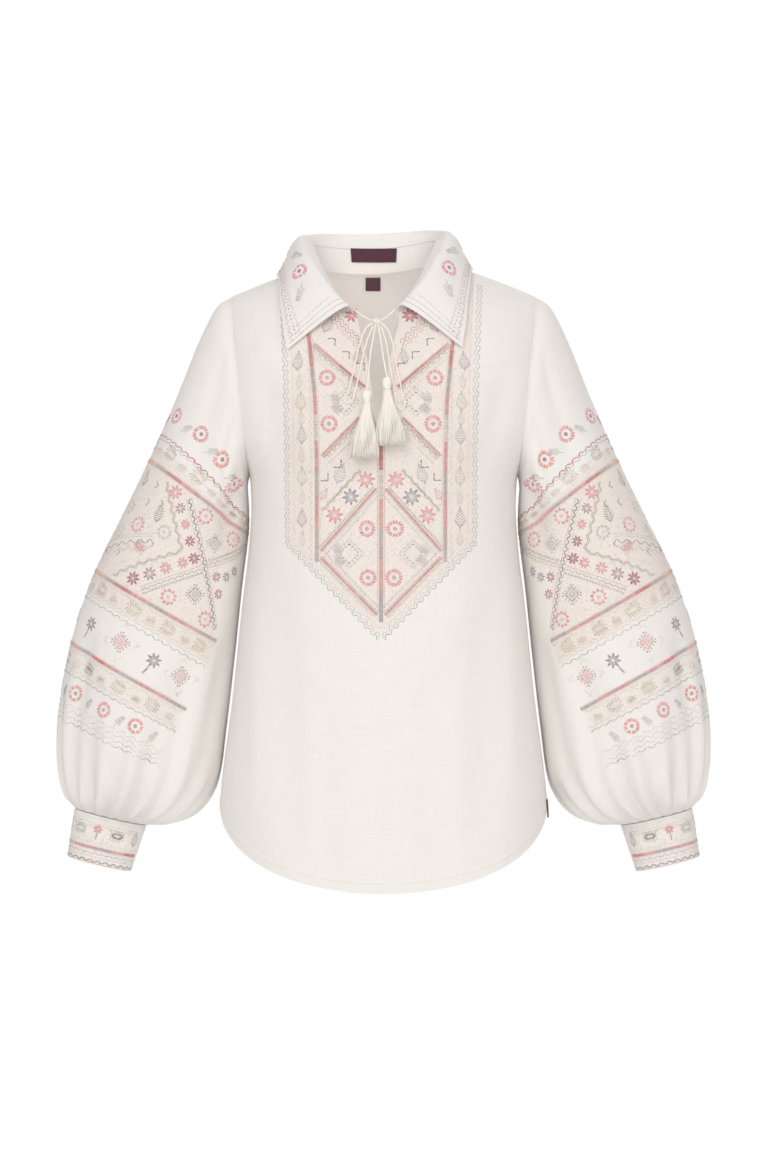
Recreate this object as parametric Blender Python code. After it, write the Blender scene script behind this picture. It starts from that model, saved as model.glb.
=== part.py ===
"""A woman's embroidered linen blouse, filled out as if worn, with no wearer inside.

Frame: metres, +Z up, front towards -Y. The origin is on the mid plane, level with the shoulders beside the
neck, where a wearer holds the blouse up. Left and right are the viewer's, seen from the front.

Every cloth piece is a wall on a surface worked out from the sizes and the short tables below. The torso is
one surface: oval rings below the chest, and above it an arch over each x that closes on the shoulder line.
Front, back and yoke are cut from it, so they meet at their seams. A sleeve is a tube of slanted ovals that
starts on the armhole's own points.
"""

import math

import bmesh
import bpy
import numpy as np


def table(columns, *rows):
    """Rows of numbers under named columns. Every row fills every column."""
    assert all(len(row) == len(columns) for row in rows)
    return rows


# Driving sizes, in metres

WALL = 0.0012
SEAM_GAP = 0.0003
LABEL_WALL = 0.0010

ARMPIT_HEIGHT = -0.240
CHEST_HEIGHT = -0.145
HEM_HEIGHT = -0.697
HEM_NOTCH_RISE = 0.104
HEM_NOTCH_ROUND = 0.07
RING_POWER = 2.3
RING_REACH = 0.99999
FRONT_ARCH_POWER = 1.7
BACK_ARCH_POWER = 2.6
ARCH_LENGTH = 0.12

ARMHOLE_HALF_WIDTH = 0.150
ARMHOLE_LEAN = 0.103

RIDGE_TOP = 0.0070
RIDGE_ROUND = 0.040
RIDGE_SLOPE = 0.143
RIDGE_CURVE = 0.96

NECK_SHIFT = -0.010
NECK_HALF_WIDTH = 0.066
NECK_FRONT_DEPTH = 0.65
NECK_BACK_DEPTH = 0.326

FRONT_SEAM_SHARE = 0.367
BACK_SEAM_SHARE = 0.873

SLIT_CENTRE = -0.0055
SLIT_END_HEIGHT = -0.187
SLIT_TOP_HEIGHT = -0.075
SLIT_TOP_HALF_WIDTH = 0.021
SLIT_LOW_HALF_WIDTH = 0.007
SLIT_END_HALF_WIDTH = 0.0016

CORD_RADIUS = 0.0010
CORD_SIDES_RESOLUTION = 2

# Rings of the torso, from the hem up to the chest
TORSO_ROWS = table(
    ("height", "half_width", "front_depth", "back_depth"),
    (-0.705, 0.1850, 0.126, 0.116),
    (-0.600, 0.1825, 0.124, 0.114),
    (-0.490, 0.1690, 0.119, 0.107),
    (-0.380, 0.1575, 0.114, 0.100),
    (-0.320, 0.1505, 0.111, 0.097),
    (-0.262, 0.1480, 0.110, 0.095),
    (-0.240, 0.1500, 0.110, 0.094),
    (-0.200, 0.1680, 0.110, 0.093),
    (-0.145, 0.1820, 0.108, 0.092),
)

# Slanted ovals of the left sleeve, from the armhole down: where each lies along the sleeve, its outer and
# inner ends seen from the front, its depths to front and back, and its middle's place front to back
SLEEVE_ROWS = table(
    ("share", "outer_x", "outer_z", "inner_x", "inner_z", "front_depth", "back_depth", "middle_y"),
    (0.00, -0.170, -0.0405, -0.150, -0.240, 0.058, 0.052, 0.000),
    (0.05, -0.184, -0.0490, -0.152, -0.250, 0.060, 0.056, 0.002),
    (0.13, -0.205, -0.0870, -0.1515, -0.266, 0.063, 0.060, 0.005),
    (0.22, -0.231, -0.1500, -0.1508, -0.282, 0.065, 0.064, 0.008),
    (0.33, -0.264, -0.2240, -0.1524, -0.312, 0.067, 0.067, 0.010),
    (0.45, -0.295, -0.2880, -0.1592, -0.368, 0.071, 0.071, 0.010),
    (0.57, -0.325, -0.3500, -0.1667, -0.440, 0.076, 0.075, 0.009),
    (0.69, -0.350, -0.4250, -0.1762, -0.520, 0.080, 0.078, 0.006),
    (0.80, -0.365, -0.5100, -0.1885, -0.588, 0.078, 0.076, 0.003),
    (0.89, -0.362, -0.5680, -0.214, -0.6180, 0.066, 0.064, 0.000),
    (0.95, -0.354, -0.5960, -0.240, -0.6270, 0.050, 0.048, -0.002),
    (1.00, -0.3433, -0.6117, -0.2674, -0.6299, 0.0275, 0.0275, -0.003),
)

CUFF_TOP = (-0.3055, -0.6213)
CUFF_BOTTOM = (-0.3180, -0.6736)
CUFF_TOP_HALF = (0.0410, 0.0290)
CUFF_BOTTOM_HALF = (0.0365, 0.0275)
CUFF_WALL = 0.0022

# Long soft troughs of the sleeve cloth: ends as share along and turn round (0 outer, 0.25 front, 0.5 inner,
# 0.75 back), half width as a turn, and depth
SLEEVE_FOLDS = table(
    ("share_a", "turn_a", "share_b", "turn_b", "half_turn", "depth"),
    (0.06, 0.40, 0.40, 0.36, 0.040, 0.0070),
    (0.62, 0.10, 0.97, 0.16, 0.035, 0.0065),
    (0.56, 0.34, 0.97, 0.28, 0.035, 0.0075),
    (0.50, 0.43, 0.92, 0.39, 0.030, 0.0060),
    (0.10, 0.60, 0.45, 0.64, 0.040, 0.0060),
    (0.60, 0.70, 0.97, 0.66, 0.035, 0.0070),
    (0.55, 0.86, 0.97, 0.84, 0.035, 0.0060),
)
GATHERS = 18
GATHER_DEPTH = 0.0042
GATHER_START = 0.66

# Long soft troughs of the body cloth: ends seen from the front, half width, depth; one table a side
FRONT_FOLDS = table(
    ("x_a", "z_a", "x_b", "z_b", "half_width", "depth"),
    (-0.120, -0.300, -0.098, -0.640, 0.022, 0.0050),
    (-0.066, -0.440, -0.060, -0.700, 0.020, 0.0035),
    (0.052, -0.430, 0.060, -0.700, 0.022, 0.0040),
    (0.118, -0.290, 0.104, -0.650, 0.022, 0.0050),
    (-0.138, -0.110, -0.112, -0.230, 0.016, 0.0040),
    (0.138, -0.110, 0.112, -0.230, 0.016, 0.0040),
)
BACK_FOLDS = table(
    ("x_a", "z_a", "x_b", "z_b", "half_width", "depth"),
    (-0.110, -0.260, -0.104, -0.690, 0.024, 0.0060),
    (-0.040, -0.330, -0.046, -0.700, 0.024, 0.0050),
    (0.036, -0.300, 0.044, -0.700, 0.024, 0.0055),
    (0.112, -0.280, 0.100, -0.690, 0.024, 0.0060),
)

# The collar from the middle of the back to the front end of each leaf: where the station is round the neck
# (0 back, 1 front end), height and lean of the stand, height and lean of the fold above the neck seam,
# and the leaf's lower edge as a place across the shoulder and as a share of the arch (see arch_point)
COLLAR_ROWS = table(
    ("round", "stand_height", "stand_lean", "fold_height", "fold_lean", "edge_x", "edge_share"),
    (0.00, 0.027, 0.003, 0.0440, 0.004, 0.000, 0.620),
    (0.14, 0.027, 0.003, 0.0440, 0.005, 0.052, 0.600),
    (0.28, 0.027, 0.004, 0.0425, 0.008, 0.092, 0.400),
    (0.42, 0.026, 0.005, 0.0385, 0.011, 0.108, 0.140),
    (0.56, 0.023, 0.005, 0.0330, 0.013, 0.108, -0.150),
    (0.70, 0.019, 0.005, 0.0240, 0.012, 0.105, -0.400),
    (0.84, 0.013, 0.004, 0.0160, 0.009, 0.101, -0.600),
    (1.00, 0.007, 0.002, 0.0090, 0.004, 0.096, -0.765),
)
COLLAR_FRONT_END = 0.0240
STAND_INSET = 0.0017
COLLAR_LIFT = 0.0042
COLLAR_WALL = 0.0016

# Routes of the neck cords, seen from the front: x, z and how far they stand off the cloth
TIE_LEFT = ((-0.0320, -0.0600, 0.0016), (-0.0265, -0.0645, 0.0020), (-0.0195, -0.0690, 0.0030),
            (-0.0126, -0.0722, 0.0052))
TIE_RIGHT = ((0.0120, -0.0600, 0.0016), (0.0075, -0.0645, 0.0020), (0.0025, -0.0690, 0.0030),
             (-0.0029, -0.0722, 0.0052))
LOOP_LEFT = ((-0.0126, -0.0752, 0.0052), (-0.0190, -0.0810, 0.0044), (-0.0250, -0.0960, 0.0030),
             (-0.0300, -0.1150, 0.0026), (-0.0340, -0.1340, 0.0026), (-0.0385, -0.1500, 0.0026),
             (-0.0420, -0.1570, 0.0026), (-0.0400, -0.1630, 0.0026), (-0.0345, -0.1610, 0.0026),
             (-0.0310, -0.1500, 0.0026), (-0.0270, -0.1340, 0.0026), (-0.0225, -0.1130, 0.0026),
             (-0.0180, -0.0950, 0.0034), (-0.0112, -0.0781, 0.0055))
LOOP_RIGHT = ((-0.0028, -0.0748, 0.0052), (0.0040, -0.0820, 0.0044), (0.0100, -0.0980, 0.0030),
              (0.0135, -0.1180, 0.0026), (0.0175, -0.1380, 0.0026), (0.0215, -0.1580, 0.0026),
              (0.0230, -0.1660, 0.0026), (0.0195, -0.1705, 0.0026), (0.0145, -0.1660, 0.0026),
              (0.0125, -0.1550, 0.0026), (0.0095, -0.1370, 0.0026), (0.0060, -0.1160, 0.0026),
              (0.0025, -0.0960, 0.0034), (-0.0030, -0.0782, 0.0055))
END_LEFT = ((-0.0085, -0.0776, 0.0052), (-0.0105, -0.0880, 0.0046), (-0.0135, -0.1050, 0.0038),
            (-0.0155, -0.1220, 0.0034), (-0.0168, -0.1370, 0.0040), (-0.0180, -0.1486, 0.0060))
END_RIGHT = ((-0.0058, -0.0776, 0.0052), (-0.0040, -0.0880, 0.0046), (-0.0018, -0.1020, 0.0038),
             (0.0002, -0.1160, 0.0036), (0.0022, -0.1265, 0.0044), (0.0038, -0.1346, 0.0060))

KNOT_PLACE = (-0.0078, -0.0735)
KNOT_HALF = (0.0046, 0.0034, 0.0038)

TASSEL_TOPS = {"left": (-0.0180, -0.1490), "right": (0.0040, -0.1350)}
TASSEL_LENGTH = 0.076
TASSEL_HEAD_LENGTH = 0.014
TASSEL_HEAD_HALF = (0.0048, 0.0040)
TASSEL_SKIRT_HALF = (0.0150, 0.0058)
TASSEL_LEAN = {"left": -0.0035, "right": 0.0045}
TASSEL_STRANDS = (8, 3)

MATERIALS = {
    "linen": ((0.83, 0.80, 0.75), 0.85),
    "embroidered_linen": ((0.78, 0.69, 0.64), 0.85),
    "cotton_cord": ((0.86, 0.80, 0.69), 0.80),
    "label_cloth": ((0.17, 0.03, 0.06), 0.70),
}


# Reading tables and easing

def smooth_rows(rows, at):
    """Read every later column of a table at places in its first column.

    A cubic runs through the rows, and its slope at a row is that of the rows beside it.
    """
    numbers = np.array(rows, dtype=float)
    key = numbers[:, 0]
    values = numbers[:, 1:]
    slopes = np.gradient(values, key, axis=0)
    place = np.clip(np.asarray(at, dtype=float), key[0], key[-1])
    low = np.clip(np.searchsorted(key, place, side="right") - 1, 0, len(key) - 2)
    width = (key[low + 1] - key[low])[..., None]
    part = (place - key[low])[..., None] / width
    cube = part ** 3
    square = part ** 2
    result = (2 * cube - 3 * square + 1) * values[low]
    result += (cube - 2 * square + part) * width * slopes[low]
    result += (3 * square - 2 * cube) * values[low + 1]
    result += (cube - square) * width * slopes[low + 1]
    return np.moveaxis(result, -1, 0)


def ease(share):
    """Go from 0 to 1 with no slope at either end."""
    part = np.clip(share, 0.0, 1.0)
    return part * part * (3 - 2 * part)


# The torso surface

def shoulder_line(x):
    """Height of the shoulder line over x: rounded in the middle, then falling a little faster further out."""
    away = np.sqrt(x ** 2 + RIDGE_ROUND ** 2) - RIDGE_ROUND
    return RIDGE_TOP - RIDGE_SLOPE * away - RIDGE_CURVE * x ** 2


def ring_depth(x, half_width, depth):
    """Depth of an oval ring at x: depth times (1 - share of half width to the power) to one over the power."""
    share = np.clip(np.abs(x) / half_width, 0.0, 1.0)
    return depth * (1 - share ** RING_POWER) ** (1 / RING_POWER)


def fold_push(x, z, folds):
    """How far the long folds press the cloth in at (x, z): a bell across each fold, faded at its ends."""
    push = np.zeros(np.broadcast(x, z).shape)
    for x_a, z_a, x_b, z_b, half_width, depth in folds:
        run_x, run_z = x_b - x_a, z_b - z_a
        length = math.hypot(run_x, run_z)
        along = ((x - x_a) * run_x + (z - z_a) * run_z) / length ** 2
        across = ((x - x_a) * run_z - (z - z_a) * run_x) / length
        fade = ease(along / 0.35) * ease((1.15 - along) / 0.3)
        push = push + depth * fade * np.exp(-(across / half_width) ** 2)
    return push


def torso_point(x, level, side):
    """A point of the torso. side is -1 at the front, +1 at the back.

    level up to 0 is the height above the chest, in metres, and the point lies on that ring. From 0 to 1 it
    is a share of the quarter turn from the chest up and over to the shoulder line.
    """
    x, level = np.broadcast_arrays(np.asarray(x, float), np.asarray(level, float))
    height = CHEST_HEIGHT + np.minimum(level, 0.0)
    half_width, front, back = smooth_rows(TORSO_ROWS, height)
    depth = ring_depth(x, half_width, front if side < 0 else back)
    power = FRONT_ARCH_POWER if side < 0 else BACK_ARCH_POWER
    turn = np.clip(level, 0.0, 1.0) * math.pi / 2
    rise = np.sin(turn) ** (2 / power)
    z = height + (shoulder_line(x) - CHEST_HEIGHT) * rise
    depth = depth * np.clip(np.cos(turn), 0.0, 1.0) ** (2 / power)
    reach = ease((half_width - np.abs(x)) / 0.03) * ease((0.75 - level) / 0.6)
    depth = depth - fold_push(x, z, FRONT_FOLDS if side < 0 else BACK_FOLDS) * reach
    return np.stack([x, side * depth, z], axis=-1)


def arch_point(x, share):
    """A point above the chest by its share of the arch: -1 front chest, 0 shoulder line, +1 back chest."""
    x, share = np.broadcast_arrays(np.asarray(x, float), np.asarray(share, float))
    level = 1 - np.abs(share)
    front = torso_point(x, level, -1)
    back = torso_point(x, level, 1)
    return np.where((share < 0)[..., None], front, back)


def armhole_half_width(z):
    """Half the distance between the two armhole seams at a height: they lean out towards the shoulder."""
    return ARMHOLE_HALF_WIDTH + ARMHOLE_LEAN * (z - ARMPIT_HEIGHT)


def armhole_x(level, side):
    """Where the armhole crosses a level of the torso: the seam's own plane, met in three steps."""
    x = np.full(np.shape(level), 0.160)
    for _ in range(3):
        x = armhole_half_width(torso_point(x, level, side)[..., 2])
    return x


def surface_normals(points, flip):
    """Unit normals of a grid of points from the differences along its two directions."""
    along = np.gradient(points, axis=0)
    across = np.gradient(points, axis=1)
    normal = np.cross(along, across)
    length = np.linalg.norm(normal, axis=-1, keepdims=True)
    return normal / np.maximum(length, 1e-12) * (-1.0 if flip else 1.0)


def torso_normals(points):
    """Outward directions near the torso: away from its upright middle line, leaning up above the chest."""
    x, y, z = points[..., 0], points[..., 1], points[..., 2]
    half_width, front, back = smooth_rows(TORSO_ROWS, np.minimum(z, CHEST_HEIGHT))
    depth = np.where(y < 0, front, back)
    height = np.maximum(shoulder_line(x) - CHEST_HEIGHT, 0.05)
    above = np.maximum(z - CHEST_HEIGHT, 0.0) / height
    share = np.clip(np.abs(x) / half_width, 0.0, 1.0)
    level_x = np.sign(x) * share ** (RING_POWER - 1) / half_width
    normal = np.stack([level_x, y / depth ** 2, above / height], axis=-1)
    length = np.linalg.norm(normal, axis=-1, keepdims=True)
    return normal / np.maximum(length, 1e-12)


# The neck opening

def neck_share(x):
    """Share of the arch on the neck curve's front half, an oval round the neck's own middle."""
    part = np.clip(np.abs(x - NECK_SHIFT) / NECK_HALF_WIDTH, 0.0, 1.0)
    return -NECK_FRONT_DEPTH * np.sqrt(1 - part ** 2)


def neck_corner_offset():
    """How far from the neck's middle the front yoke seam meets the neck curve."""
    return NECK_HALF_WIDTH * math.sqrt(1 - (FRONT_SEAM_SHARE / NECK_FRONT_DEPTH) ** 2)


def neck_curve(turn):
    """(x, share) round the neck oval: turn 0 at the back, a quarter turn at the right, half at the front."""
    x = NECK_SHIFT + NECK_HALF_WIDTH * np.sin(turn)
    share = np.cos(turn)
    share = np.where(share > 0, NECK_BACK_DEPTH * share, NECK_FRONT_DEPTH * share)
    return x, share


# Making solids

def new_material(name):
    """A matt cloth material from the table of colours and roughness."""
    material = bpy.data.materials.new(name)
    material.use_nodes = True
    shader = material.node_tree.nodes["Principled BSDF"]
    colour, roughness = MATERIALS[name]
    shader.inputs["Base Color"].default_value = (*colour, 1.0)
    shader.inputs["Roughness"].default_value = roughness
    shader.inputs["Metallic"].default_value = 0.0
    material.diffuse_color = (*colour, 1.0)
    return material


def add_object(name, bm, material, collection):
    """Close a bmesh into a named object with outward faces, shaded smooth with sharp rims."""
    bmesh.ops.remove_doubles(bm, verts=bm.verts, dist=1e-6)
    bmesh.ops.recalc_face_normals(bm, faces=bm.faces)
    mesh = bpy.data.meshes.new(name)
    bm.to_mesh(mesh)
    bm.free()
    mesh.materials.append(material)
    mesh.shade_smooth()
    mesh.set_sharp_from_angle(angle=math.radians(45))
    piece = bpy.data.objects.new(name, mesh)
    collection.objects.link(piece)
    return piece


def shell(name, outer, inward, material, collection, closed=False, skipped=None):
    """A wall between a grid of outer points and the same grid moved by inward.

    outer and inward are rows by columns by 3. With closed, the last column joins the first. skipped marks
    the cells that are left open. Faces at the open edges join the two sides.
    """
    rows, columns = outer.shape[:2]
    bm = bmesh.new()
    sides = []
    for points in (outer, outer + inward):
        sides.append([[bm.verts.new(points[r, c]) for c in range(columns)] for r in range(rows)])
    wide = columns if closed else columns - 1
    edges = {}
    for r in range(rows - 1):
        for c in range(wide):
            if skipped is not None and skipped[r, c]:
                continue
            corners = ((r, c), (r, (c + 1) % columns), (r + 1, (c + 1) % columns), (r + 1, c))
            for grid in sides:
                bm.faces.new([grid[i][j] for i, j in corners])
            for start, end in zip(corners, corners[1:] + corners[:1]):
                key = frozenset((start, end))
                edges[key] = None if key in edges else (start, end)
    for pair in edges.values():
        if pair is None:
            continue
        (r0, c0), (r1, c1) = pair
        bm.faces.new([sides[0][r0][c0], sides[0][r1][c1], sides[1][r1][c1], sides[1][r0][c0]])
    loose = [vertex for vertex in bm.verts if not vertex.link_faces]
    bmesh.ops.delete(bm, geom=loose, context="VERTS")
    return add_object(name, bm, material, collection)


# Front, back and yoke

ARMHOLE_LOWER_STEPS = 6
FRONT_ARCH_STEPS = 4
BACK_LOWER_STEPS = 8
BACK_ARCH_STEPS = 2
YOKE_SIDE_STEPS = 7
YOKE_BACK_STEPS = 12
YOKE_ACROSS_STEPS = 6
SKIRT_STEPS = 10
HALF_COLUMNS = 12
NECK_COLUMNS = 5
LOW_HEIGHTS_FRONT = (-0.240, -0.2355, -0.2245, -0.2070, -0.1870, -0.1660, -0.145)


def low_heights_back():
    """Heights of the back's rows beside the armhole, closer together near the armpit."""
    step = np.arange(BACK_LOWER_STEPS + 1) / BACK_LOWER_STEPS
    return ARMPIT_HEIGHT + (CHEST_HEIGHT - ARMPIT_HEIGHT) * (0.35 * step + 0.65 * step ** 2)


def hem_height(x, half_width):
    """Shirt-tail hem: it rises with the square of the turn from the middle, rounded at the side seam."""
    turn = np.arcsin(np.clip(np.abs(x) / half_width, 0.0, 1.0)) * 2 / math.pi
    rounded = 1 - np.sqrt((1 - turn) ** 2 + HEM_NOTCH_ROUND ** 2 * turn ** 4)
    return HEM_HEIGHT + HEM_NOTCH_RISE * rounded ** 2


def slit_half_width(z):
    """Half the V opening's width: nothing at its end, then quickly open, and wide at the neck."""
    share = np.clip((z - SLIT_END_HEIGHT) / (SLIT_TOP_HEIGHT - SLIT_END_HEIGHT), 0.0, 1.0)
    opening = SLIT_LOW_HALF_WIDTH * np.sqrt(share) + (SLIT_TOP_HALF_WIDTH - SLIT_LOW_HALF_WIDTH) * share ** 2.2
    return SLIT_END_HALF_WIDTH + opening


def side_edge(level, side):
    """Half the panel's width at a level: the side seam below the armpit, the armhole above it."""
    height = CHEST_HEIGHT + np.minimum(level, 0.0)
    half_width = smooth_rows(TORSO_ROWS, height)[0]
    above = height > ARMPIT_HEIGHT + 1e-6
    edge = np.where(above, armhole_x(level, side), half_width * RING_REACH)
    return np.minimum(edge, half_width * RING_REACH)


def half_panel(side, low_heights, arch_steps, hand, neck):
    """Half of the front or back as a grid, from the hem up and from the middle out to the side.

    hand is -1 for the left half. With neck, the top row follows the neck curve as far as the yoke seam,
    and the middle column follows the slit.
    """
    column = np.arange(HALF_COLUMNS + 1) / HALF_COLUMNS
    quarter = np.full_like(column, math.pi / 2)
    rows = []
    seam_level = 1 - (FRONT_SEAM_SHARE if side < 0 else BACK_SEAM_SHARE)
    seam_trim = SEAM_GAP / 2 / ARCH_LENGTH
    for step in range(SKIRT_STEPS):
        share = step / SKIRT_STEPS
        half_width = smooth_rows(TORSO_ROWS, -0.5 + 0 * column)[0]
        x = spread(column, half_width, quarter, hand, -0.5, neck)
        for _ in range(3):
            z = hem_height(x, half_width) * (1 - share) + ARMPIT_HEIGHT * share
            half_width = smooth_rows(TORSO_ROWS, z)[0] * RING_REACH
            x = spread(column, half_width, quarter, hand, z, neck)
        rows.append(torso_point(x, z - CHEST_HEIGHT, side))
    for height in low_heights:
        level = np.full_like(column, height - CHEST_HEIGHT)
        half_width = smooth_rows(TORSO_ROWS, level + CHEST_HEIGHT)[0]
        edge = side_edge(level, side)
        turn = np.arcsin(np.clip(edge / half_width, 0, 1))
        x = spread(column, edge, turn, hand, level + CHEST_HEIGHT, neck)
        rows.append(torso_point(x, level, side))
    chest_x = np.abs(rows[-1][:, 0])
    top_level = seam_level - seam_trim
    for step in range(1, arch_steps + 1):
        share = step / arch_steps
        edge = armhole_x(np.full(1, top_level * share), side)[0]
        plain = chest_x / chest_x[-1] * edge
        if neck:
            slit_x = SLIT_CENTRE + hand * slit_half_width(SLIT_TOP_HEIGHT)
            corner = NECK_SHIFT + hand * neck_corner_offset()
            inner = np.linspace(slit_x, corner, NECK_COLUMNS + 1)
            outer = np.linspace(corner, hand * edge, HALF_COLUMNS - NECK_COLUMNS + 1)
            top_x = np.concatenate([inner, outer[1:]])
            level = np.minimum(1 + neck_share(top_x), top_level)
            level[NECK_COLUMNS:] = top_level
            level[:NECK_COLUMNS] -= seam_trim
            start_x = rows[len(low_heights) + SKIRT_STEPS - 1][:, 0]
            x = start_x + (top_x - start_x) * share
            level = level * share
            if step < arch_steps:
                z = torso_point(x, level, side)[:, 2]
                x[0] = SLIT_CENTRE + hand * slit_half_width(z[0])
        else:
            x = hand * plain
            level = np.full_like(column, top_level * share)
        rows.append(torso_point(x, level, side))
    return np.array(rows)


def spread(column, edge, turn, hand, z, neck):
    """Places across half a panel: even steps of turn round the ring, starting at the slit in front."""
    start = SLIT_CENTRE + hand * slit_half_width(np.asarray(z, float)) if neck else 0.0
    share = np.sin(column * turn) / np.sin(turn)
    return start + (hand * edge - start) * share


def seam_trimmed(points, side):
    """Pull the side seam and the armhole edge back by half the seam gap."""
    trimmed = points.copy()
    below = points[:, -1, 2] < ARMPIT_HEIGHT + 1e-4
    trimmed[below, -1, 1] = side * SEAM_GAP * 0.7
    hand = np.sign(points[:, -1, 0])
    trimmed[~below, -1, 0] -= hand[~below] * SEAM_GAP * 0.5
    return trimmed


def make_front(material, collection):
    """The front panel: two half grids joined down the middle below the slit's end."""
    halves = [half_panel(-1, LOW_HEIGHTS_FRONT, FRONT_ARCH_STEPS, hand, True) for hand in (-1, 1)]
    left, right = (seam_trimmed(half, -1) for half in halves)
    outer = np.concatenate([left[:, ::-1], right], axis=1)
    skipped = np.zeros((outer.shape[0] - 1, outer.shape[1] - 1), dtype=bool)
    slit_row = SKIRT_STEPS + LOW_HEIGHTS_FRONT.index(SLIT_END_HEIGHT)
    skipped[slit_row:, HALF_COLUMNS] = True
    return shell("front_panel", outer, -WALL * torso_normals(outer), material, collection, skipped=skipped)


def make_back(material, collection):
    """The back panel, one grid from side to side."""
    heights = low_heights_back()
    halves = [half_panel(1, heights, BACK_ARCH_STEPS, hand, False) for hand in (-1, 1)]
    left, right = (seam_trimmed(half, 1) for half in halves)
    outer = np.concatenate([left[:, ::-1], right[:, 1:]], axis=1)
    return shell("back_panel", outer, -WALL * torso_normals(outer), material, collection)


def yoke_edges():
    """The yoke's outer and neck edges as (x, share), from the left front seam round the back to the right."""
    trim = SEAM_GAP / 2 / ARCH_LENGTH
    front, back = -FRONT_SEAM_SHARE + trim, BACK_SEAM_SHARE - trim
    side_share = np.linspace(front, back, YOKE_SIDE_STEPS + 1)
    side_x = np.where(side_share < 0, armhole_x(1 - np.abs(side_share), -1), armhole_x(1 - np.abs(side_share), 1))
    side_x = side_x - SEAM_GAP * 0.5
    back_x = np.linspace(-side_x[-1], side_x[-1], YOKE_BACK_STEPS + 1)
    x = np.concatenate([-side_x, back_x[1:-1], side_x[::-1]])
    share = np.concatenate([side_share, np.full(YOKE_BACK_STEPS - 1, back), side_share[::-1]])
    corner_turn = math.acos(front / NECK_FRONT_DEPTH)
    turn = np.linspace(-corner_turn, corner_turn, len(x))
    neck_x, neck_share_values = neck_curve(turn)
    return np.stack([x, share], -1), np.stack([neck_x, neck_share_values], -1)


def make_yoke(material, collection):
    """The yoke: straight steps from the neck edge out to the armholes and the back seam, over the arch."""
    outer_edge, neck_edge = yoke_edges()
    share = np.linspace(0, 1, YOKE_ACROSS_STEPS + 1)[:, None, None]
    flat = neck_edge * (1 - share) + outer_edge * share
    outer = arch_point(flat[..., 0], flat[..., 1])
    return shell("yoke", outer, -WALL * torso_normals(outer), material, collection)


# Sleeves and cuffs

SLEEVE_ROWS_ALONG = 13
CUFF_STEPS = 2


def armhole_loop():
    """The left armhole from the armpit up the front, over the yoke and down the back, in one closed list."""
    front_low = np.array(LOW_HEIGHTS_FRONT) - CHEST_HEIGHT
    front_top = (1 - FRONT_SEAM_SHARE) * np.arange(1, FRONT_ARCH_STEPS + 1) / FRONT_ARCH_STEPS
    front = np.concatenate([front_low, front_top])
    yoke = np.linspace(-FRONT_SEAM_SHARE, BACK_SEAM_SHARE, YOKE_SIDE_STEPS + 1)[1:-1]
    back_low = low_heights_back() - CHEST_HEIGHT
    back_top = (1 - BACK_SEAM_SHARE) * np.arange(1, BACK_ARCH_STEPS + 1) / BACK_ARCH_STEPS
    back = np.concatenate([back_low, back_top])[::-1]
    front_points = torso_point(-side_edge(front, -1), front, -1)
    yoke_side = np.where(yoke < 0, armhole_x(1 - np.abs(yoke), -1), armhole_x(1 - np.abs(yoke), 1))
    yoke_points = arch_point(-yoke_side, yoke)
    back_points = torso_point(-side_edge(back, 1), back, 1)
    front_points[0, 1] = 0.0
    loop = np.concatenate([front_points, yoke_points, back_points[:-1]])
    middles = (loop + np.roll(loop, -1, axis=0)) / 2
    return np.stack([loop, middles], axis=1).reshape(-1, 3)


def sleeve_section(share, turn):
    """A point of the plain sleeve. share runs down the sleeve, turn goes round it.

    The oval's long way joins its outer and inner ends, and its short way is front to back.
    """
    outer_x, outer_z, inner_x, inner_z, front, back, middle = smooth_rows(SLEEVE_ROWS, share)
    angle = turn * 2 * math.pi
    along = np.cos(angle)
    depth = np.where(np.sin(angle) > 0, -front, back) * np.abs(np.sin(angle))
    x = (outer_x + inner_x) / 2 + (outer_x - inner_x) / 2 * along
    z = (outer_z + inner_z) / 2 + (outer_z - inner_z) / 2 * along
    return np.stack([x, middle + depth, z], axis=-1)


def loop_turns(loop):
    """The turn round the first section at which each armhole point lies: 0 outer, 0.25 front, 0.5 inner."""
    middle = (loop.max(axis=0) + loop.min(axis=0)) / 2
    half = (loop.max(axis=0) - loop.min(axis=0)) / 2
    angle = np.arctan2(-(loop[:, 1] - middle[1]) / half[1], (loop[:, 2] - middle[2]) / half[2])
    return np.mod(angle / (2 * math.pi), 1.0)


def sleeve_relief(share, turn):
    """How far the cloth goes in (negative out) at a place: long troughs, and gathers into the cuff."""
    push = np.zeros(np.broadcast(share, turn).shape)
    for share_a, turn_a, share_b, turn_b, half_turn, depth in SLEEVE_FOLDS:
        along = (share - share_a) / (share_b - share_a)
        middle = turn_a + (turn_b - turn_a) * along
        away = (turn - middle + 0.5) % 1.0 - 0.5
        fade = ease(along / 0.3) * ease((1.05 - along) / 0.25)
        push = push + depth * fade * np.exp(-(away / half_turn) ** 2)
    grow = ease((share - GATHER_START) / (0.93 - GATHER_START))
    settle = 1 - 0.62 * ease((share - 0.95) / 0.05)
    wave = np.cos(turn * 2 * math.pi * GATHERS)
    return push + GATHER_DEPTH * grow * settle * wave


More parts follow.
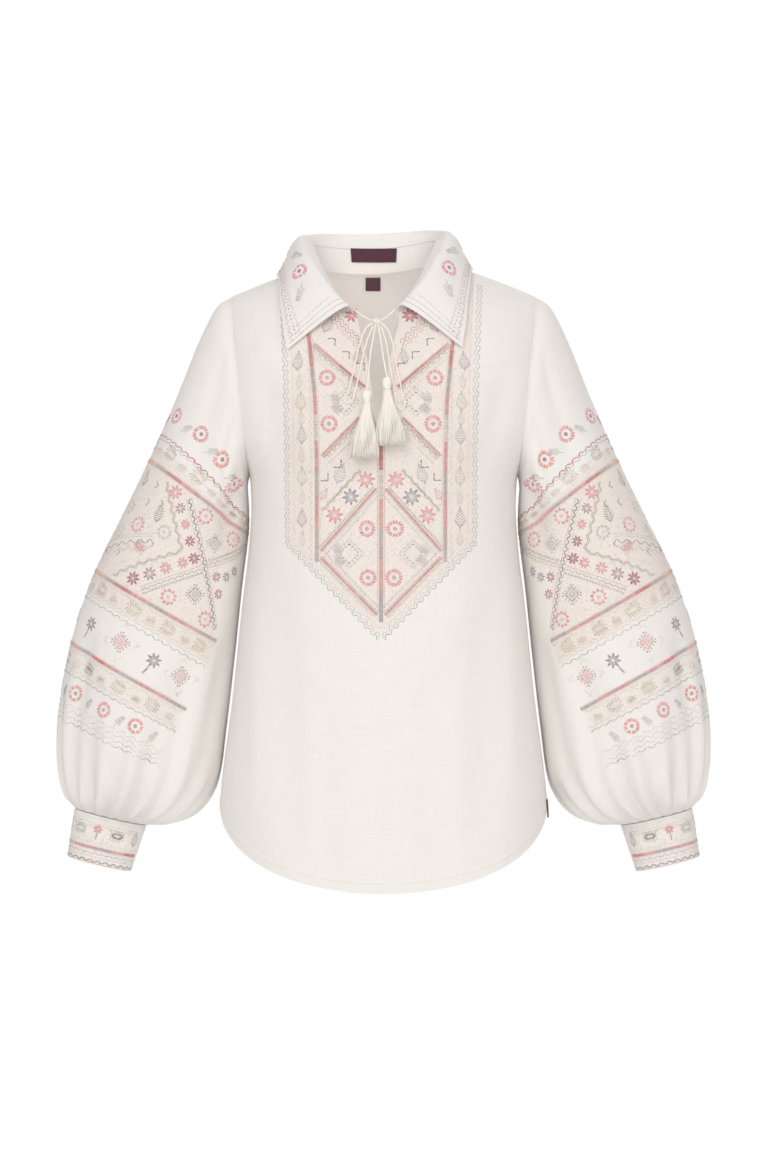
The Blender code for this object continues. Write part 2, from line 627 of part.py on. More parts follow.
def make_sleeve(name, hand, material, collection):
    """A full sleeve from the armhole's own points to the gathered edge above the cuff."""
    loop = armhole_loop()
    loop_turn = loop_turns(loop)
    count = len(loop)
    even_turn = np.mod(0.5 - np.arange(count) / count, 1.0)
    share = np.linspace(0, 1, SLEEVE_ROWS_ALONG + 1) ** 0.92
    turning = ((loop_turn - even_turn + 0.5) % 1.0 - 0.5)[None, :]
    turn = even_turn[None, :] + turning * (1 - ease(share / 0.45))[:, None]
    share = np.repeat(share[:, None], count, axis=1)
    points = sleeve_section(share, turn)
    points = points + (loop - points[0])[None] * (1 - ease(share / 0.30))[..., None]
    points[0, :, 0] -= SEAM_GAP * 1.3
    wrapped = np.concatenate([points[:, -1:], points, points[:, :1]], axis=1)
    normal = surface_normals(wrapped, flip=False)[:, 1:-1]
    middle = points.mean(axis=1, keepdims=True)
    if (normal * (points - middle)).sum() < 0:
        normal = -normal
    axis = np.array([CUFF_BOTTOM[0] - CUFF_TOP[0], 0.0, CUFF_BOTTOM[1] - CUFF_TOP[1]])
    axis /= np.linalg.norm(axis)
    settle = ease((share - 0.85) / 0.15)[..., None]
    push = normal - settle * (normal @ axis)[..., None] * axis
    push /= np.linalg.norm(push, axis=-1, keepdims=True)
    points = points - push * (sleeve_relief(share, turn) * ease(share / 0.08))[..., None]
    wrapped = np.concatenate([points[:, -1:], points, points[:, :1]], axis=1)
    folded = surface_normals(wrapped, flip=False)[:, 1:-1]
    if (folded * (points - middle)).sum() < 0:
        folded = -folded
    bisector = folded[0] + torso_normals(points[0])
    folded[0] = bisector / np.linalg.norm(bisector, axis=-1, keepdims=True)
    mirror = np.array([-hand, 1.0, 1.0])
    return shell(name, points * mirror, -WALL * folded * mirror, material, collection, closed=True)


def cuff_ring(share, turn, grow):
    """A point of the left cuff's outer face: an oval cone between its top and bottom ends."""
    share, turn = np.broadcast_arrays(share, turn)
    top, bottom = np.array(CUFF_TOP), np.array(CUFF_BOTTOM)
    axis = (bottom - top) / np.linalg.norm(bottom - top)
    across = np.array([axis[1], -axis[0]])
    middle = top + (bottom - top) * share[..., None]
    half_wide = CUFF_TOP_HALF[0] * (1 - share) + CUFF_BOTTOM_HALF[0] * share + grow
    half_deep = CUFF_TOP_HALF[1] * (1 - share) + CUFF_BOTTOM_HALF[1] * share + grow
    flat = middle + across * (half_wide * np.cos(turn * 2 * math.pi))[..., None]
    y = -0.003 - half_deep * np.sin(turn * 2 * math.pi)
    return np.stack([flat[..., 0], y, flat[..., 1]], axis=-1)


def make_cuff(name, hand, material, collection):
    """A plain closed band below the sleeve's gathered edge."""
    count = 36
    turn = np.arange(count)[None, :] / count
    share = np.linspace(0, 1, CUFF_STEPS + 1)[:, None]
    outer = cuff_ring(share, turn, 0.0)
    inner = cuff_ring(share, turn, -CUFF_WALL)
    mirror = np.array([-hand, 1.0, 1.0])
    return shell(name, outer * mirror, (inner - outer) * mirror, material, collection, closed=True)


# Collar

COLLAR_STATIONS = 28
STAND_STEPS = 2
FALL_STEPS = 7


def collar_station(round_share):
    """Neck seam point, outward direction and the collar's sizes at signed places round the neck."""
    sizes = smooth_rows(COLLAR_ROWS, np.abs(round_share))
    end_turn = math.pi - math.asin(COLLAR_FRONT_END / NECK_HALF_WIDTH)
    turn = round_share * end_turn
    x, share = neck_curve(turn)
    seam = arch_point(x, share)
    outward = np.stack([np.sin(turn), np.cos(turn), 0 * turn], axis=-1)
    return seam, outward, sizes


def make_stand(material, collection):
    """The stand: a band that rises just inside the neck edge and leans out a little."""
    place = np.linspace(-1, 1, COLLAR_STATIONS + 1)
    seam, outward, sizes = collar_station(place)
    height, lean = sizes[0], sizes[1]
    rows = []
    for step in range(STAND_STEPS + 1):
        share = step / STAND_STEPS
        out = lean * share ** 2 - STAND_INSET
        up = -0.0012 + (height + 0.0012) * share
        rows.append(seam + outward * out[:, None] + np.array([0, 0, 1.0]) * up[:, None])
    outer = np.array(rows)
    inward = -WALL * np.broadcast_to(outward, outer.shape)
    return shell("collar_stand", outer, inward, material, collection)


def clear_of_torso(points, lift):
    """Move points that lie too near the torso straight out from the chest line until lift clears it."""
    x, y, z = points[..., 0], points[..., 1], points[..., 2]
    half_width, front, back = smooth_rows(TORSO_ROWS, np.full(x.shape, CHEST_HEIGHT))
    depth = ring_depth(x, half_width, np.where(y < 0, front, back))
    power = np.where(y < 0, FRONT_ARCH_POWER, BACK_ARCH_POWER)
    height = shoulder_line(x) - CHEST_HEIGHT
    rise = np.maximum(z - CHEST_HEIGHT, 1e-6)
    reach = ((np.abs(y) / depth) ** power + (rise / height) ** power) ** (1 / power)
    radius = np.hypot(y, rise)
    wanted = 1 + lift * reach / radius
    scale = np.maximum(wanted / reach, 1.0)
    moved = points.copy()
    moved[..., 1] = y * scale
    moved[..., 2] = CHEST_HEIGHT + rise * scale
    return moved


def collar_fall_points(place, steps):
    """The folded collar: up from the stand, over the fold, and down to lie on the shoulders.

    Each station is a cubic curve from the fold to the leaf's edge, whose first pull is outwards, after a
    short straight run up from the stand's top.
    """
    seam, outward, sizes = collar_station(place)
    stand_height, stand_lean, fold_height, fold_lean, edge_x, edge_share = sizes
    up = np.array([0, 0, 1.0])
    foot = seam + outward * (stand_lean - STAND_INSET - WALL)[:, None] + up * (stand_height + SEAM_GAP)[:, None]
    fold = seam + outward * fold_lean[:, None] + up * fold_height[:, None]
    edge_place_x = NECK_SHIFT + np.sign(place) * edge_x
    edge = clear_of_torso(arch_point(edge_place_x, edge_share), COLLAR_LIFT)
    drop = np.linalg.norm(edge - fold, axis=-1, keepdims=True)
    pull = 0.26 - 0.14 * np.abs(place)[:, None] ** 2
    first = fold + outward * drop * pull + up * drop * 0.10
    second = edge + (fold - edge) * 0.38 + up * drop * 0.05
    rows = [foot, (foot + fold) / 2]
    for share in np.linspace(0, 1, steps - 1):
        rest = 1 - share
        point = rest ** 3 * fold + 3 * rest ** 2 * share * first
        point = point + 3 * rest * share ** 2 * second + share ** 3 * edge
        rows.append(clear_of_torso(point, COLLAR_LIFT * ease(share / 0.3)) if share > 0 else point)
    return np.array(rows)


def make_fall(material, collection):
    """The collar's fall, one folded wall from leaf point to leaf point."""
    place = np.linspace(-1, 1, COLLAR_STATIONS + 1)
    outer = collar_fall_points(place, FALL_STEPS)
    normal = surface_normals(outer, flip=False)
    middle = len(place) // 2
    if normal[-1, middle, 1] < 0:
        normal = -normal
    normal[0] = -collar_station(place)[1]
    return shell("collar_fall", outer, -COLLAR_WALL * normal, material, collection)


# Cords, knot and tassels

def cloth_front(x, z):
    """The torso's front at (x, z) seen from the front, found by halving between chest and shoulder line."""
    x, z = np.broadcast_arrays(np.asarray(x, float), np.asarray(z, float))
    low, high = np.zeros(x.shape), np.ones(x.shape)
    for _ in range(30):
        middle = (low + high) / 2
        too_high = torso_point(x, middle, -1)[..., 2] > z
        high = np.where(too_high, middle, high)
        low = np.where(too_high, low, middle)
    level = np.where(z < CHEST_HEIGHT, z - CHEST_HEIGHT, low)
    return torso_point(x, level, -1)


def smooth_route(route, spacing):
    """Points at an even spacing along a smooth curve through a cord's own points, on the cloth."""
    knots = np.array(route, dtype=float)
    flat_steps = np.linalg.norm(np.diff(knots[:, :2], axis=0), axis=1)
    key = np.concatenate([[0], np.cumsum(flat_steps)])
    count = max(int(round(key[-1] / spacing)), 3) + 1
    x, z, lift = smooth_rows(np.column_stack([key, knots]), np.linspace(0, key[-1], count))
    points = cloth_front(x, z)
    points[:, 1] -= lift
    return points


def make_cord(name, route, material, collection):
    """A round cord along its route, as a curve with filled ends."""
    points = smooth_route(route, CORD_RADIUS * 6.0)
    curve = bpy.data.curves.new(name, "CURVE")
    curve.dimensions = "3D"
    curve.bevel_depth = CORD_RADIUS
    curve.bevel_resolution = CORD_SIDES_RESOLUTION
    curve.use_fill_caps = True
    spline = curve.splines.new("POLY")
    spline.points.add(len(points) - 1)
    for place, point in zip(spline.points, points):
        place.co = (*point, 1.0)
    curve.materials.append(material)
    piece = bpy.data.objects.new(name, curve)
    collection.objects.link(piece)
    return piece


def make_knot(material, collection):
    """The bow's knot: a small round lump, wider than it is high."""
    place = cloth_front(*KNOT_PLACE)
    bm = bmesh.new()
    bmesh.ops.create_uvsphere(bm, u_segments=12, v_segments=8, radius=1.0)
    bmesh.ops.scale(bm, verts=bm.verts, vec=KNOT_HALF)
    bmesh.ops.translate(bm, verts=bm.verts, vec=(place[0], place[1] - 0.0052, place[2]))
    return add_object("knot", bm, material, collection)


def tassel_frame(side):
    """Top of a tassel, just in front of the cloth."""
    x, z = TASSEL_TOPS[side]
    place = cloth_front(x, z)
    return np.array([x, place[1] - 0.0062, z])


def tassel_point(side, across, deep, down):
    """A place in a tassel's skirt: across and deep from -1 to 1, down from 0 at the head to 1 at the end.

    The skirt widens from the head's width to its own, leans a little aside and stays off the cloth.
    """
    top = tassel_frame(side)
    open_up = ease(down / 0.9) * 0.75 + down * 0.25
    half_x = TASSEL_HEAD_HALF[0] * 0.8 + (TASSEL_SKIRT_HALF[0] - TASSEL_HEAD_HALF[0] * 0.8) * open_up
    half_y = TASSEL_HEAD_HALF[1] * 0.7 + (TASSEL_SKIRT_HALF[1] - TASSEL_HEAD_HALF[1] * 0.7) * open_up
    z = top[2] - TASSEL_HEAD_LENGTH - (TASSEL_LENGTH - TASSEL_HEAD_LENGTH) * down
    x = top[0] + TASSEL_LEAN[side] * down + half_x * across
    cloth = cloth_front(top[0], z)[..., 1]
    y = cloth - 0.0030 - half_y * (1.0 - deep)
    return np.array([x, y, z])


def make_tassel(side, material, collection):
    """A tassel: a wrapped head whose underside is a small grid, with a strand drawn down from every other
    cell of it, so the strands' roots are one with the head."""
    across, deep = TASSEL_STRANDS
    columns, rows = 2 * across + 1, 2 * deep + 1
    top = tassel_frame(side)
    bm = bmesh.new()
    grid = []
    for r in range(rows + 1):
        line = []
        for c in range(columns + 1):
            place = tassel_point(side, 2 * c / columns - 1, 1 - 2 * r / rows, 0.0)
            line.append(bm.verts.new(place))
        grid.append(line)
    cells = {}
    for r in range(rows):
        for c in range(columns):
            cells[r, c] = bm.faces.new([grid[r][c], grid[r][c + 1], grid[r + 1][c + 1], grid[r + 1][c]])
    rim = [grid[0][c] for c in range(columns)] + [grid[r][columns] for r in range(rows)]
    rim += [grid[rows][c] for c in range(columns, 0, -1)] + [grid[r][0] for r in range(rows, 0, -1)]
    root = np.mean([vertex.co for vertex in rim], axis=0)
    below = list(rim)
    for height, size in ((0.20, 1.28), (0.55, 1.38), (0.85, 1.15), (1.0, 0.55)):
        above = []
        for vertex in rim:
            offset = np.array(vertex.co) - root
            turn = math.atan2(offset[1] / TASSEL_HEAD_HALF[1], offset[0] / TASSEL_HEAD_HALF[0])
            round_x = TASSEL_HEAD_HALF[0] * 0.78 * math.cos(turn) * size
            round_y = TASSEL_HEAD_HALF[1] * 0.78 * math.sin(turn) * size
            z = root[2] + TASSEL_HEAD_LENGTH * height
            above.append(bm.verts.new((root[0] + round_x, root[1] + round_y, z)))
        for i in range(len(rim)):
            j = (i + 1) % len(rim)
            bm.faces.new([below[i], below[j], above[j], above[i]])
        below = above
    bm.faces.new(below)
    for r in range(1, rows, 2):
        for c in range(1, columns, 2):
            draw_strand(bm, cells[r, c], side, 2 * (c + 0.5) / columns - 1, 1 - 2 * (r + 0.5) / rows)
    return add_object("tassel_" + side, bm, material, collection)


def draw_strand(bm, face, side, across, deep):
    """Draw one four-sided strand down from a face, in two runs that follow the skirt."""
    uneven = 1.0 - 0.05 * (0.5 + 0.5 * math.sin(17.0 * across + 9.0 * deep))
    for down, thick in ((0.45, 0.00075), (uneven, 0.00085)):
        extruded = bmesh.ops.extrude_discrete_faces(bm, faces=[face])["faces"][0]
        face = extruded
        target = tassel_point(side, across, deep, down)
        centre = face.calc_center_median()
        for vertex in face.verts:
            corner = vertex.co - centre
            vertex.co = (target[0] + math.copysign(thick, corner.x), target[1] + math.copysign(thick, corner.y),
                         target[2])


# Labels

def bent_label(name, xs, zs, surface, lift, material, collection):
    """A label bent to the cloth it lies on: a small grid on a surface, moved off it by lift."""
    grid_x, grid_z = np.meshgrid(xs, zs)
    points, normal = surface(grid_x, grid_z)
    outer = points + normal * (lift + LABEL_WALL)
    return shell(name, outer, -normal * LABEL_WALL, material, collection)


def stand_inside(x, z):
    """The inner face of the stand at the middle of the back, with the direction to the neck's middle."""
    place = np.arcsin(np.clip((x - NECK_SHIFT) / NECK_HALF_WIDTH, -1, 1)) / math.pi
    end_turn = 1 - math.asin(COLLAR_FRONT_END / NECK_HALF_WIDTH) / math.pi
    seam, outward, sizes = collar_station(place / end_turn)
    height, lean = sizes[0], sizes[1]
    share = (z - seam[..., 2]) / height
    points = seam + outward * (lean * share ** 2 - STAND_INSET - WALL)[..., None]
    points[..., 2] = z
    return points, -outward


def back_inside(x, z):
    """The inner face of the yoke at the back below the neck seam, facing the front."""
    low, high = np.zeros(x.shape), np.ones(x.shape)
    for _ in range(30):
        middle = (low + high) / 2
        too_high = torso_point(x, middle, 1)[..., 2] > z
        high = np.where(too_high, middle, high)
        low = np.where(too_high, low, middle)
    outer = torso_point(x, low, 1)
    normal = torso_normals(outer)
    return outer - normal * WALL, -normal


def side_outside(turn, z):
    """The torso's outer face near the right side seam; turn is the share round from the front's middle."""
    half_width = smooth_rows(TORSO_ROWS, z)[0]
    points = torso_point(half_width * np.sin(turn * math.pi / 2), z - CHEST_HEIGHT, -1)
    return points, torso_normals(points)


def make_labels(material, collection):
    """The three bare woven labels."""
    xs = NECK_SHIFT - 0.001 + 0.0265 * np.linspace(-1, 1, 7)
    bent_label("label_neck", xs, np.linspace(0.0035, 0.0195, 3), stand_inside, 0.0008, material, collection)
    xs = NECK_SHIFT - 0.002 + 0.0085 * np.linspace(-1, 1, 3)
    bent_label("label_size", xs, np.linspace(-0.0265, -0.0125, 4), back_inside, 0.0008, material, collection)
    turns = np.linspace(0.905, 0.985, 4)
    bent_label("label_side", turns, np.linspace(-0.621, -0.601, 3), side_outside, 0.0006, material, collection)


def clear_scene():
    """Remove whatever the file opened with."""
    for item in list(bpy.data.objects):
        bpy.data.objects.remove(item, do_unlink=True)


def main():
    """Build every piece into one collection."""
    clear_scene()
    collection = bpy.data.collections.new("vyshyvanka_shirt")
    bpy.context.scene.collection.children.link(collection)
    linen = new_material("linen")
    worked = new_material("embroidered_linen")
    cotton = new_material("cotton_cord")
    woven = new_material("label_cloth")
    make_front(linen, collection)
    make_back(linen, collection)
    make_yoke(linen, collection)
    make_stand(linen, collection)
    make_fall(linen, collection)
    for name, hand in (("left", -1), ("right", 1)):
        make_sleeve("sleeve_" + name, hand, linen, collection)
        make_cuff("cuff_" + name, hand, worked, collection)
    routes = {"tie_left": TIE_LEFT, "tie_right": TIE_RIGHT, "loop_left": LOOP_LEFT, "loop_right": LOOP_RIGHT,
              "end_left": END_LEFT, "end_right": END_RIGHT}
    for name, route in routes.items():
        make_cord(name, route, cotton, collection)
    make_knot(cotton, collection)
    for side in ("left", "right"):
        make_tassel(side, cotton, collection)
    make_labels(woven, collection)


main()
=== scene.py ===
"""The looks of an embroidered linen blouse in its worn shape.

Frame: metres, +Z up, front towards -Y. Left and right are the viewer's, seen from the front. The cloth
surfaces come from the garment's own sizes and short tables, read at a fine spacing, with more creases.
The embroidery is made of small raised stitches that lie on those surfaces.
"""

import math

import bpy
import numpy as np
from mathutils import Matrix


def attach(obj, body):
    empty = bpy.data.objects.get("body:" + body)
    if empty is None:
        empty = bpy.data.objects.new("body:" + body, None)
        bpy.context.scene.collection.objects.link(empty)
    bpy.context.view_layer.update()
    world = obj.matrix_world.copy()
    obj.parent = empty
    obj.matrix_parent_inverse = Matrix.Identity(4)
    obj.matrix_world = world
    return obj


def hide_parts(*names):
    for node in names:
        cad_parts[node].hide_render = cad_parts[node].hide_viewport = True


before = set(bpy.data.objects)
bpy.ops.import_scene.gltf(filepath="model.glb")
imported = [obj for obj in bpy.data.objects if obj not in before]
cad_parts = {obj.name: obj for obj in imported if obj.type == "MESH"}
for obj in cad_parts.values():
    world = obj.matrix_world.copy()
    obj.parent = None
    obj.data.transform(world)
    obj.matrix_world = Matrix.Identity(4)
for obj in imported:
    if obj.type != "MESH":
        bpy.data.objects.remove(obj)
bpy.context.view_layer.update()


def table(columns, *rows):
    """Rows of numbers under named columns. Every row fills every column."""
    assert all(len(row) == len(columns) for row in rows)
    return rows


# Camera, light and floor

CAMERA_PLACE = (0.0005, -4.0, -0.352)
CAMERA_LENS = 111.6
FLOOR_HEIGHT = -1.40
FLOOR_RADIUS = 1.55


def make_camera():
    """Straight on, four metres away, level with the middle of the blouse."""
    data = bpy.data.cameras.new("camera")
    data.lens = CAMERA_LENS
    data.clip_end = 60.0
    camera = bpy.data.objects.new("camera", data)
    camera.location = CAMERA_PLACE
    camera.rotation_euler = (math.pi / 2, 0.0, 0.0)
    bpy.context.scene.collection.objects.link(camera)
    bpy.context.scene.camera = camera


def add_light(name, place, aim, width, height, power, colour):
    """A soft rectangular light at a place, turned to its aim."""
    data = bpy.data.lights.new(name, "AREA")
    data.shape = "RECTANGLE"
    data.size = width
    data.size_y = height
    data.energy = power
    data.color = colour
    lamp = bpy.data.objects.new(name, data)
    lamp.location = place
    away = np.array(place) - np.array(aim)
    flat = math.hypot(away[0], away[1])
    lamp.rotation_euler = (math.atan2(flat, away[2]), 0.0, math.atan2(away[0], -away[1]))
    bpy.context.scene.collection.objects.link(lamp)


def make_light():
    """White surroundings, a broad front light, a soft key from above left and weaker lights right and behind.

    A faint one inside the body stands for the light that thin linen lets through.
    """
    world = bpy.data.worlds.new("studio")
    bpy.context.scene.world = world
    world.use_nodes = True
    tree = world.node_tree
    ground = tree.nodes["Background"]
    ground.inputs["Color"].default_value = (1.0, 0.99, 0.98, 1.0)
    ground.inputs["Strength"].default_value = 0.55
    seen = add_node(tree, "ShaderNodeBackground", None, {"Color": (1.0, 1.0, 1.0, 1.0), "Strength": 1.0})
    ray = add_node(tree, "ShaderNodeLightPath")
    either = add_node(tree, "ShaderNodeMixShader", None,
                      {0: ray.outputs["Is Camera Ray"], 1: ground.outputs[0], 2: seen.outputs[0]})
    tree.links.new(either.outputs[0], tree.nodes["World Output"].inputs["Surface"])
    middle = (0.0, 0.0, -0.35)
    add_light("key", (-1.6, -2.6, 1.9), middle, 1.8, 1.8, 35.0, (1.0, 0.99, 0.975))
    add_light("fill", (2.2, -2.4, 1.3), middle, 1.6, 2.0, 19.0, (1.0, 0.985, 0.97))
    add_light("front", (0.3, -5.4, -0.7), middle, 2.4, 2.4, 74.0, (1.0, 0.985, 0.97))
    add_light("rim", (0.6, 3.2, 1.2), middle, 2.4, 2.0, 62.0, (1.0, 0.99, 0.98))
    add_light("inside", (-0.005, -0.02, -0.34), (-0.005, 0.06, -0.04), 0.20, 0.10, 0.22, (1.0, 0.955, 0.915))


def make_floor():
    """A round pale floor as far below the shoulders as a standing wearer's."""
    turn = np.linspace(0, 2 * math.pi, 97)[:-1]
    rim = np.stack([FLOOR_RADIUS * np.cos(turn), FLOOR_RADIUS * np.sin(turn), 0 * turn + FLOOR_HEIGHT], -1)
    mesh = bpy.data.meshes.new("floor")
    mesh.from_pydata(rim.tolist(), [], [list(range(len(rim)))])
    material = bpy.data.materials.new("floor")
    material.use_nodes = True
    shader = material.node_tree.nodes["Principled BSDF"]
    noise = material.node_tree.nodes.new("ShaderNodeTexNoise")
    noise.inputs["Scale"].default_value = 3.0
    ramp = material.node_tree.nodes.new("ShaderNodeMix")
    ramp.data_type = "RGBA"
    ramp.inputs["A"].default_value = (0.86, 0.86, 0.85, 1.0)
    ramp.inputs["B"].default_value = (0.89, 0.89, 0.88, 1.0)
    material.node_tree.links.new(noise.outputs["Fac"], ramp.inputs["Factor"])
    material.node_tree.links.new(ramp.outputs["Result"], shader.inputs["Base Color"])
    shader.inputs["Roughness"].default_value = 0.8
    mesh.materials.append(material)
    floor = bpy.data.objects.new("floor", mesh)
    bpy.context.scene.collection.objects.link(floor)


# Driving sizes of the garment

CLOTH_WALL = 0.0009
SEAM_GAP = 0.0003

ARMPIT_HEIGHT = -0.240
CHEST_HEIGHT = -0.145
HEM_HEIGHT = -0.697
HEM_NOTCH_RISE = 0.104
HEM_NOTCH_ROUND = 0.07
HEM_BAND = 0.012
RING_POWER = 2.3
RING_REACH = 0.99999
FRONT_ARCH_POWER = 1.7
BACK_ARCH_POWER = 2.6
ARCH_LENGTH = 0.12

ARMHOLE_HALF_WIDTH = 0.150
ARMHOLE_LEAN = 0.103

RIDGE_TOP = 0.0070
RIDGE_ROUND = 0.040
RIDGE_SLOPE = 0.143
RIDGE_CURVE = 0.96

NECK_SHIFT = -0.010
NECK_HALF_WIDTH = 0.066
NECK_FRONT_DEPTH = 0.65
NECK_BACK_DEPTH = 0.326

FRONT_SEAM_SHARE = 0.367
BACK_SEAM_SHARE = 0.873

SLIT_CENTRE = -0.0055
SLIT_END_HEIGHT = -0.187
SLIT_TOP_HEIGHT = -0.075
SLIT_TOP_HALF_WIDTH = 0.021
SLIT_LOW_HALF_WIDTH = 0.007
SLIT_END_HALF_WIDTH = 0.0016

# Rings of the torso, from the hem up to the chest
TORSO_ROWS = table(
    ("height", "half_width", "front_depth", "back_depth"),
    (-0.705, 0.1850, 0.126, 0.116),
    (-0.600, 0.1825, 0.124, 0.114),
    (-0.490, 0.1690, 0.119, 0.107),
    (-0.380, 0.1575, 0.114, 0.100),
    (-0.320, 0.1505, 0.111, 0.097),
    (-0.262, 0.1480, 0.110, 0.095),
    (-0.240, 0.1500, 0.110, 0.094),
    (-0.200, 0.1680, 0.110, 0.093),
    (-0.145, 0.1820, 0.108, 0.092),
)

# Slanted ovals of the left sleeve, from the armhole down
SLEEVE_ROWS = table(
    ("share", "outer_x", "outer_z", "inner_x", "inner_z", "front_depth", "back_depth", "middle_y"),
    (0.00, -0.170, -0.0405, -0.150, -0.240, 0.058, 0.052, 0.000),
    (0.05, -0.184, -0.0490, -0.152, -0.250, 0.060, 0.056, 0.002),
    (0.13, -0.205, -0.0870, -0.1515, -0.266, 0.063, 0.060, 0.005),
    (0.22, -0.231, -0.1500, -0.1508, -0.282, 0.065, 0.064, 0.008),
    (0.33, -0.264, -0.2240, -0.1524, -0.312, 0.067, 0.067, 0.010),
    (0.45, -0.295, -0.2880, -0.1592, -0.368, 0.071, 0.071, 0.010),
    (0.57, -0.325, -0.3500, -0.1667, -0.440, 0.076, 0.075, 0.009),
    (0.69, -0.350, -0.4250, -0.1762, -0.520, 0.080, 0.078, 0.006),
    (0.80, -0.365, -0.5100, -0.1885, -0.588, 0.078, 0.076, 0.003),
    (0.89, -0.362, -0.5680, -0.214, -0.6180, 0.066, 0.064, 0.000),
    (0.95, -0.354, -0.5960, -0.240, -0.6270, 0.050, 0.048, -0.002),
    (1.00, -0.3433, -0.6117, -0.2674, -0.6299, 0.0275, 0.0275, -0.003),
)

CUFF_TOP = (-0.3055, -0.6213)
CUFF_BOTTOM = (-0.3180, -0.6736)
CUFF_TOP_HALF = (0.0410, 0.0290)
CUFF_BOTTOM_HALF = (0.0365, 0.0275)
CUFF_WALL = 0.0022

# Soft troughs of the sleeve: ends as share along and turn round (0 outer, 0.25 front, 0.5 inner, 0.75 back)
SLEEVE_FOLDS = table(
    ("share_a", "turn_a", "share_b", "turn_b", "half_turn", "depth"),
    (0.06, 0.40, 0.40, 0.36, 0.040, 0.0070),
    (0.62, 0.10, 0.97, 0.16, 0.035, 0.0065),
    (0.56, 0.34, 0.97, 0.28, 0.035, 0.0075),
    (0.50, 0.43, 0.92, 0.39, 0.030, 0.0060),
    (0.10, 0.60, 0.45, 0.64, 0.040, 0.0060),
    (0.60, 0.70, 0.97, 0.66, 0.035, 0.0070),
    (0.55, 0.86, 0.97, 0.84, 0.035, 0.0060),
    (0.02, 0.18, 0.30, 0.22, 0.030, 0.0022),
    (0.04, 0.30, 0.24, 0.31, 0.016, 0.0030),
    (0.72, 0.03, 0.98, 0.06, 0.018, 0.0040),
    (0.80, 0.21, 0.99, 0.22, 0.016, 0.0045),
    (0.76, 0.47, 0.98, 0.44, 0.022, 0.0040),
    (0.70, 0.55, 0.97, 0.57, 0.024, 0.0045),
    (0.03, 0.74, 0.28, 0.76, 0.030, 0.0025),
    (0.74, 0.78, 0.98, 0.77, 0.018, 0.0040),
    (0.76, 0.93, 0.98, 0.92, 0.018, 0.0035),
)
GATHERS = 18
GATHER_DEPTH = 0.0040
GATHER_START = 0.66

# Soft troughs of the body: ends seen from the front, half width, depth; a negative depth is a ridge
FRONT_FOLDS = table(
    ("x_a", "z_a", "x_b", "z_b", "half_width", "depth"),
    (-0.120, -0.300, -0.098, -0.640, 0.022, 0.0050),
    (-0.066, -0.440, -0.060, -0.700, 0.020, 0.0035),
    (0.052, -0.430, 0.060, -0.700, 0.022, 0.0040),
    (0.118, -0.290, 0.104, -0.650, 0.022, 0.0050),
    (-0.138, -0.110, -0.112, -0.230, 0.016, 0.0040),
    (0.138, -0.110, 0.112, -0.230, 0.016, 0.0040),
    (-0.148, -0.330, -0.142, -0.600, 0.009, -0.0018),
    (0.148, -0.320, 0.141, -0.590, 0.009, -0.0018),
    (-0.100, -0.405, -0.030, -0.470, 0.014, 0.0010),
    (0.096, -0.420, 0.040, -0.500, 0.015, 0.0010),
    (-0.020, -0.500, 0.006, -0.690, 0.013, 0.0012),
    (0.020, -0.540, 0.030, -0.700, 0.010, -0.0010),
)
BACK_FOLDS = table(
    ("x_a", "z_a", "x_b", "z_b", "half_width", "depth"),
    (-0.110, -0.260, -0.104, -0.690, 0.024, 0.0060),
    (-0.040, -0.330, -0.046, -0.700, 0.024, 0.0050),
    (0.036, -0.300, 0.044, -0.700, 0.024, 0.0055),
    (0.112, -0.280, 0.100, -0.690, 0.024, 0.0060),
    (-0.128, -0.120, -0.090, -0.260, 0.013, 0.0020),
    (0.128, -0.120, 0.090, -0.260, 0.013, 0.0020),
    (-0.080, -0.420, -0.010, -0.480, 0.015, 0.0012),
    (0.078, -0.400, 0.006, -0.450, 0.015, 0.0012),
    (0.000, -0.420, 0.002, -0.690, 0.012, 0.0016),
    (-0.074, -0.500, -0.078, -0.700, 0.010, -0.0012),
    (0.074, -0.480, 0.076, -0.700, 0.010, -0.0012),
)

# The collar from the middle of the back to the front end of each leaf
COLLAR_ROWS = table(
    ("round", "stand_height", "stand_lean", "fold_height", "fold_lean", "edge_x", "edge_share"),
    (0.00, 0.027, 0.003, 0.0440, 0.004, 0.000, 0.620),
    (0.14, 0.027, 0.003, 0.0440, 0.005, 0.052, 0.600),
    (0.28, 0.027, 0.004, 0.0425, 0.008, 0.092, 0.400),
    (0.42, 0.026, 0.005, 0.0385, 0.011, 0.108, 0.140),
    (0.56, 0.023, 0.005, 0.0330, 0.013, 0.108, -0.150),
    (0.70, 0.019, 0.005, 0.0240, 0.012, 0.105, -0.400),
    (0.84, 0.013, 0.004, 0.0160, 0.009, 0.101, -0.600),
    (1.00, 0.007, 0.002, 0.0090, 0.004, 0.096, -0.765),
)
COLLAR_FRONT_END = 0.0240
STAND_INSET = 0.0017
CAD_WALL = 0.0012
COLLAR_LIFT = 0.0042
COLLAR_WALL = 0.0015

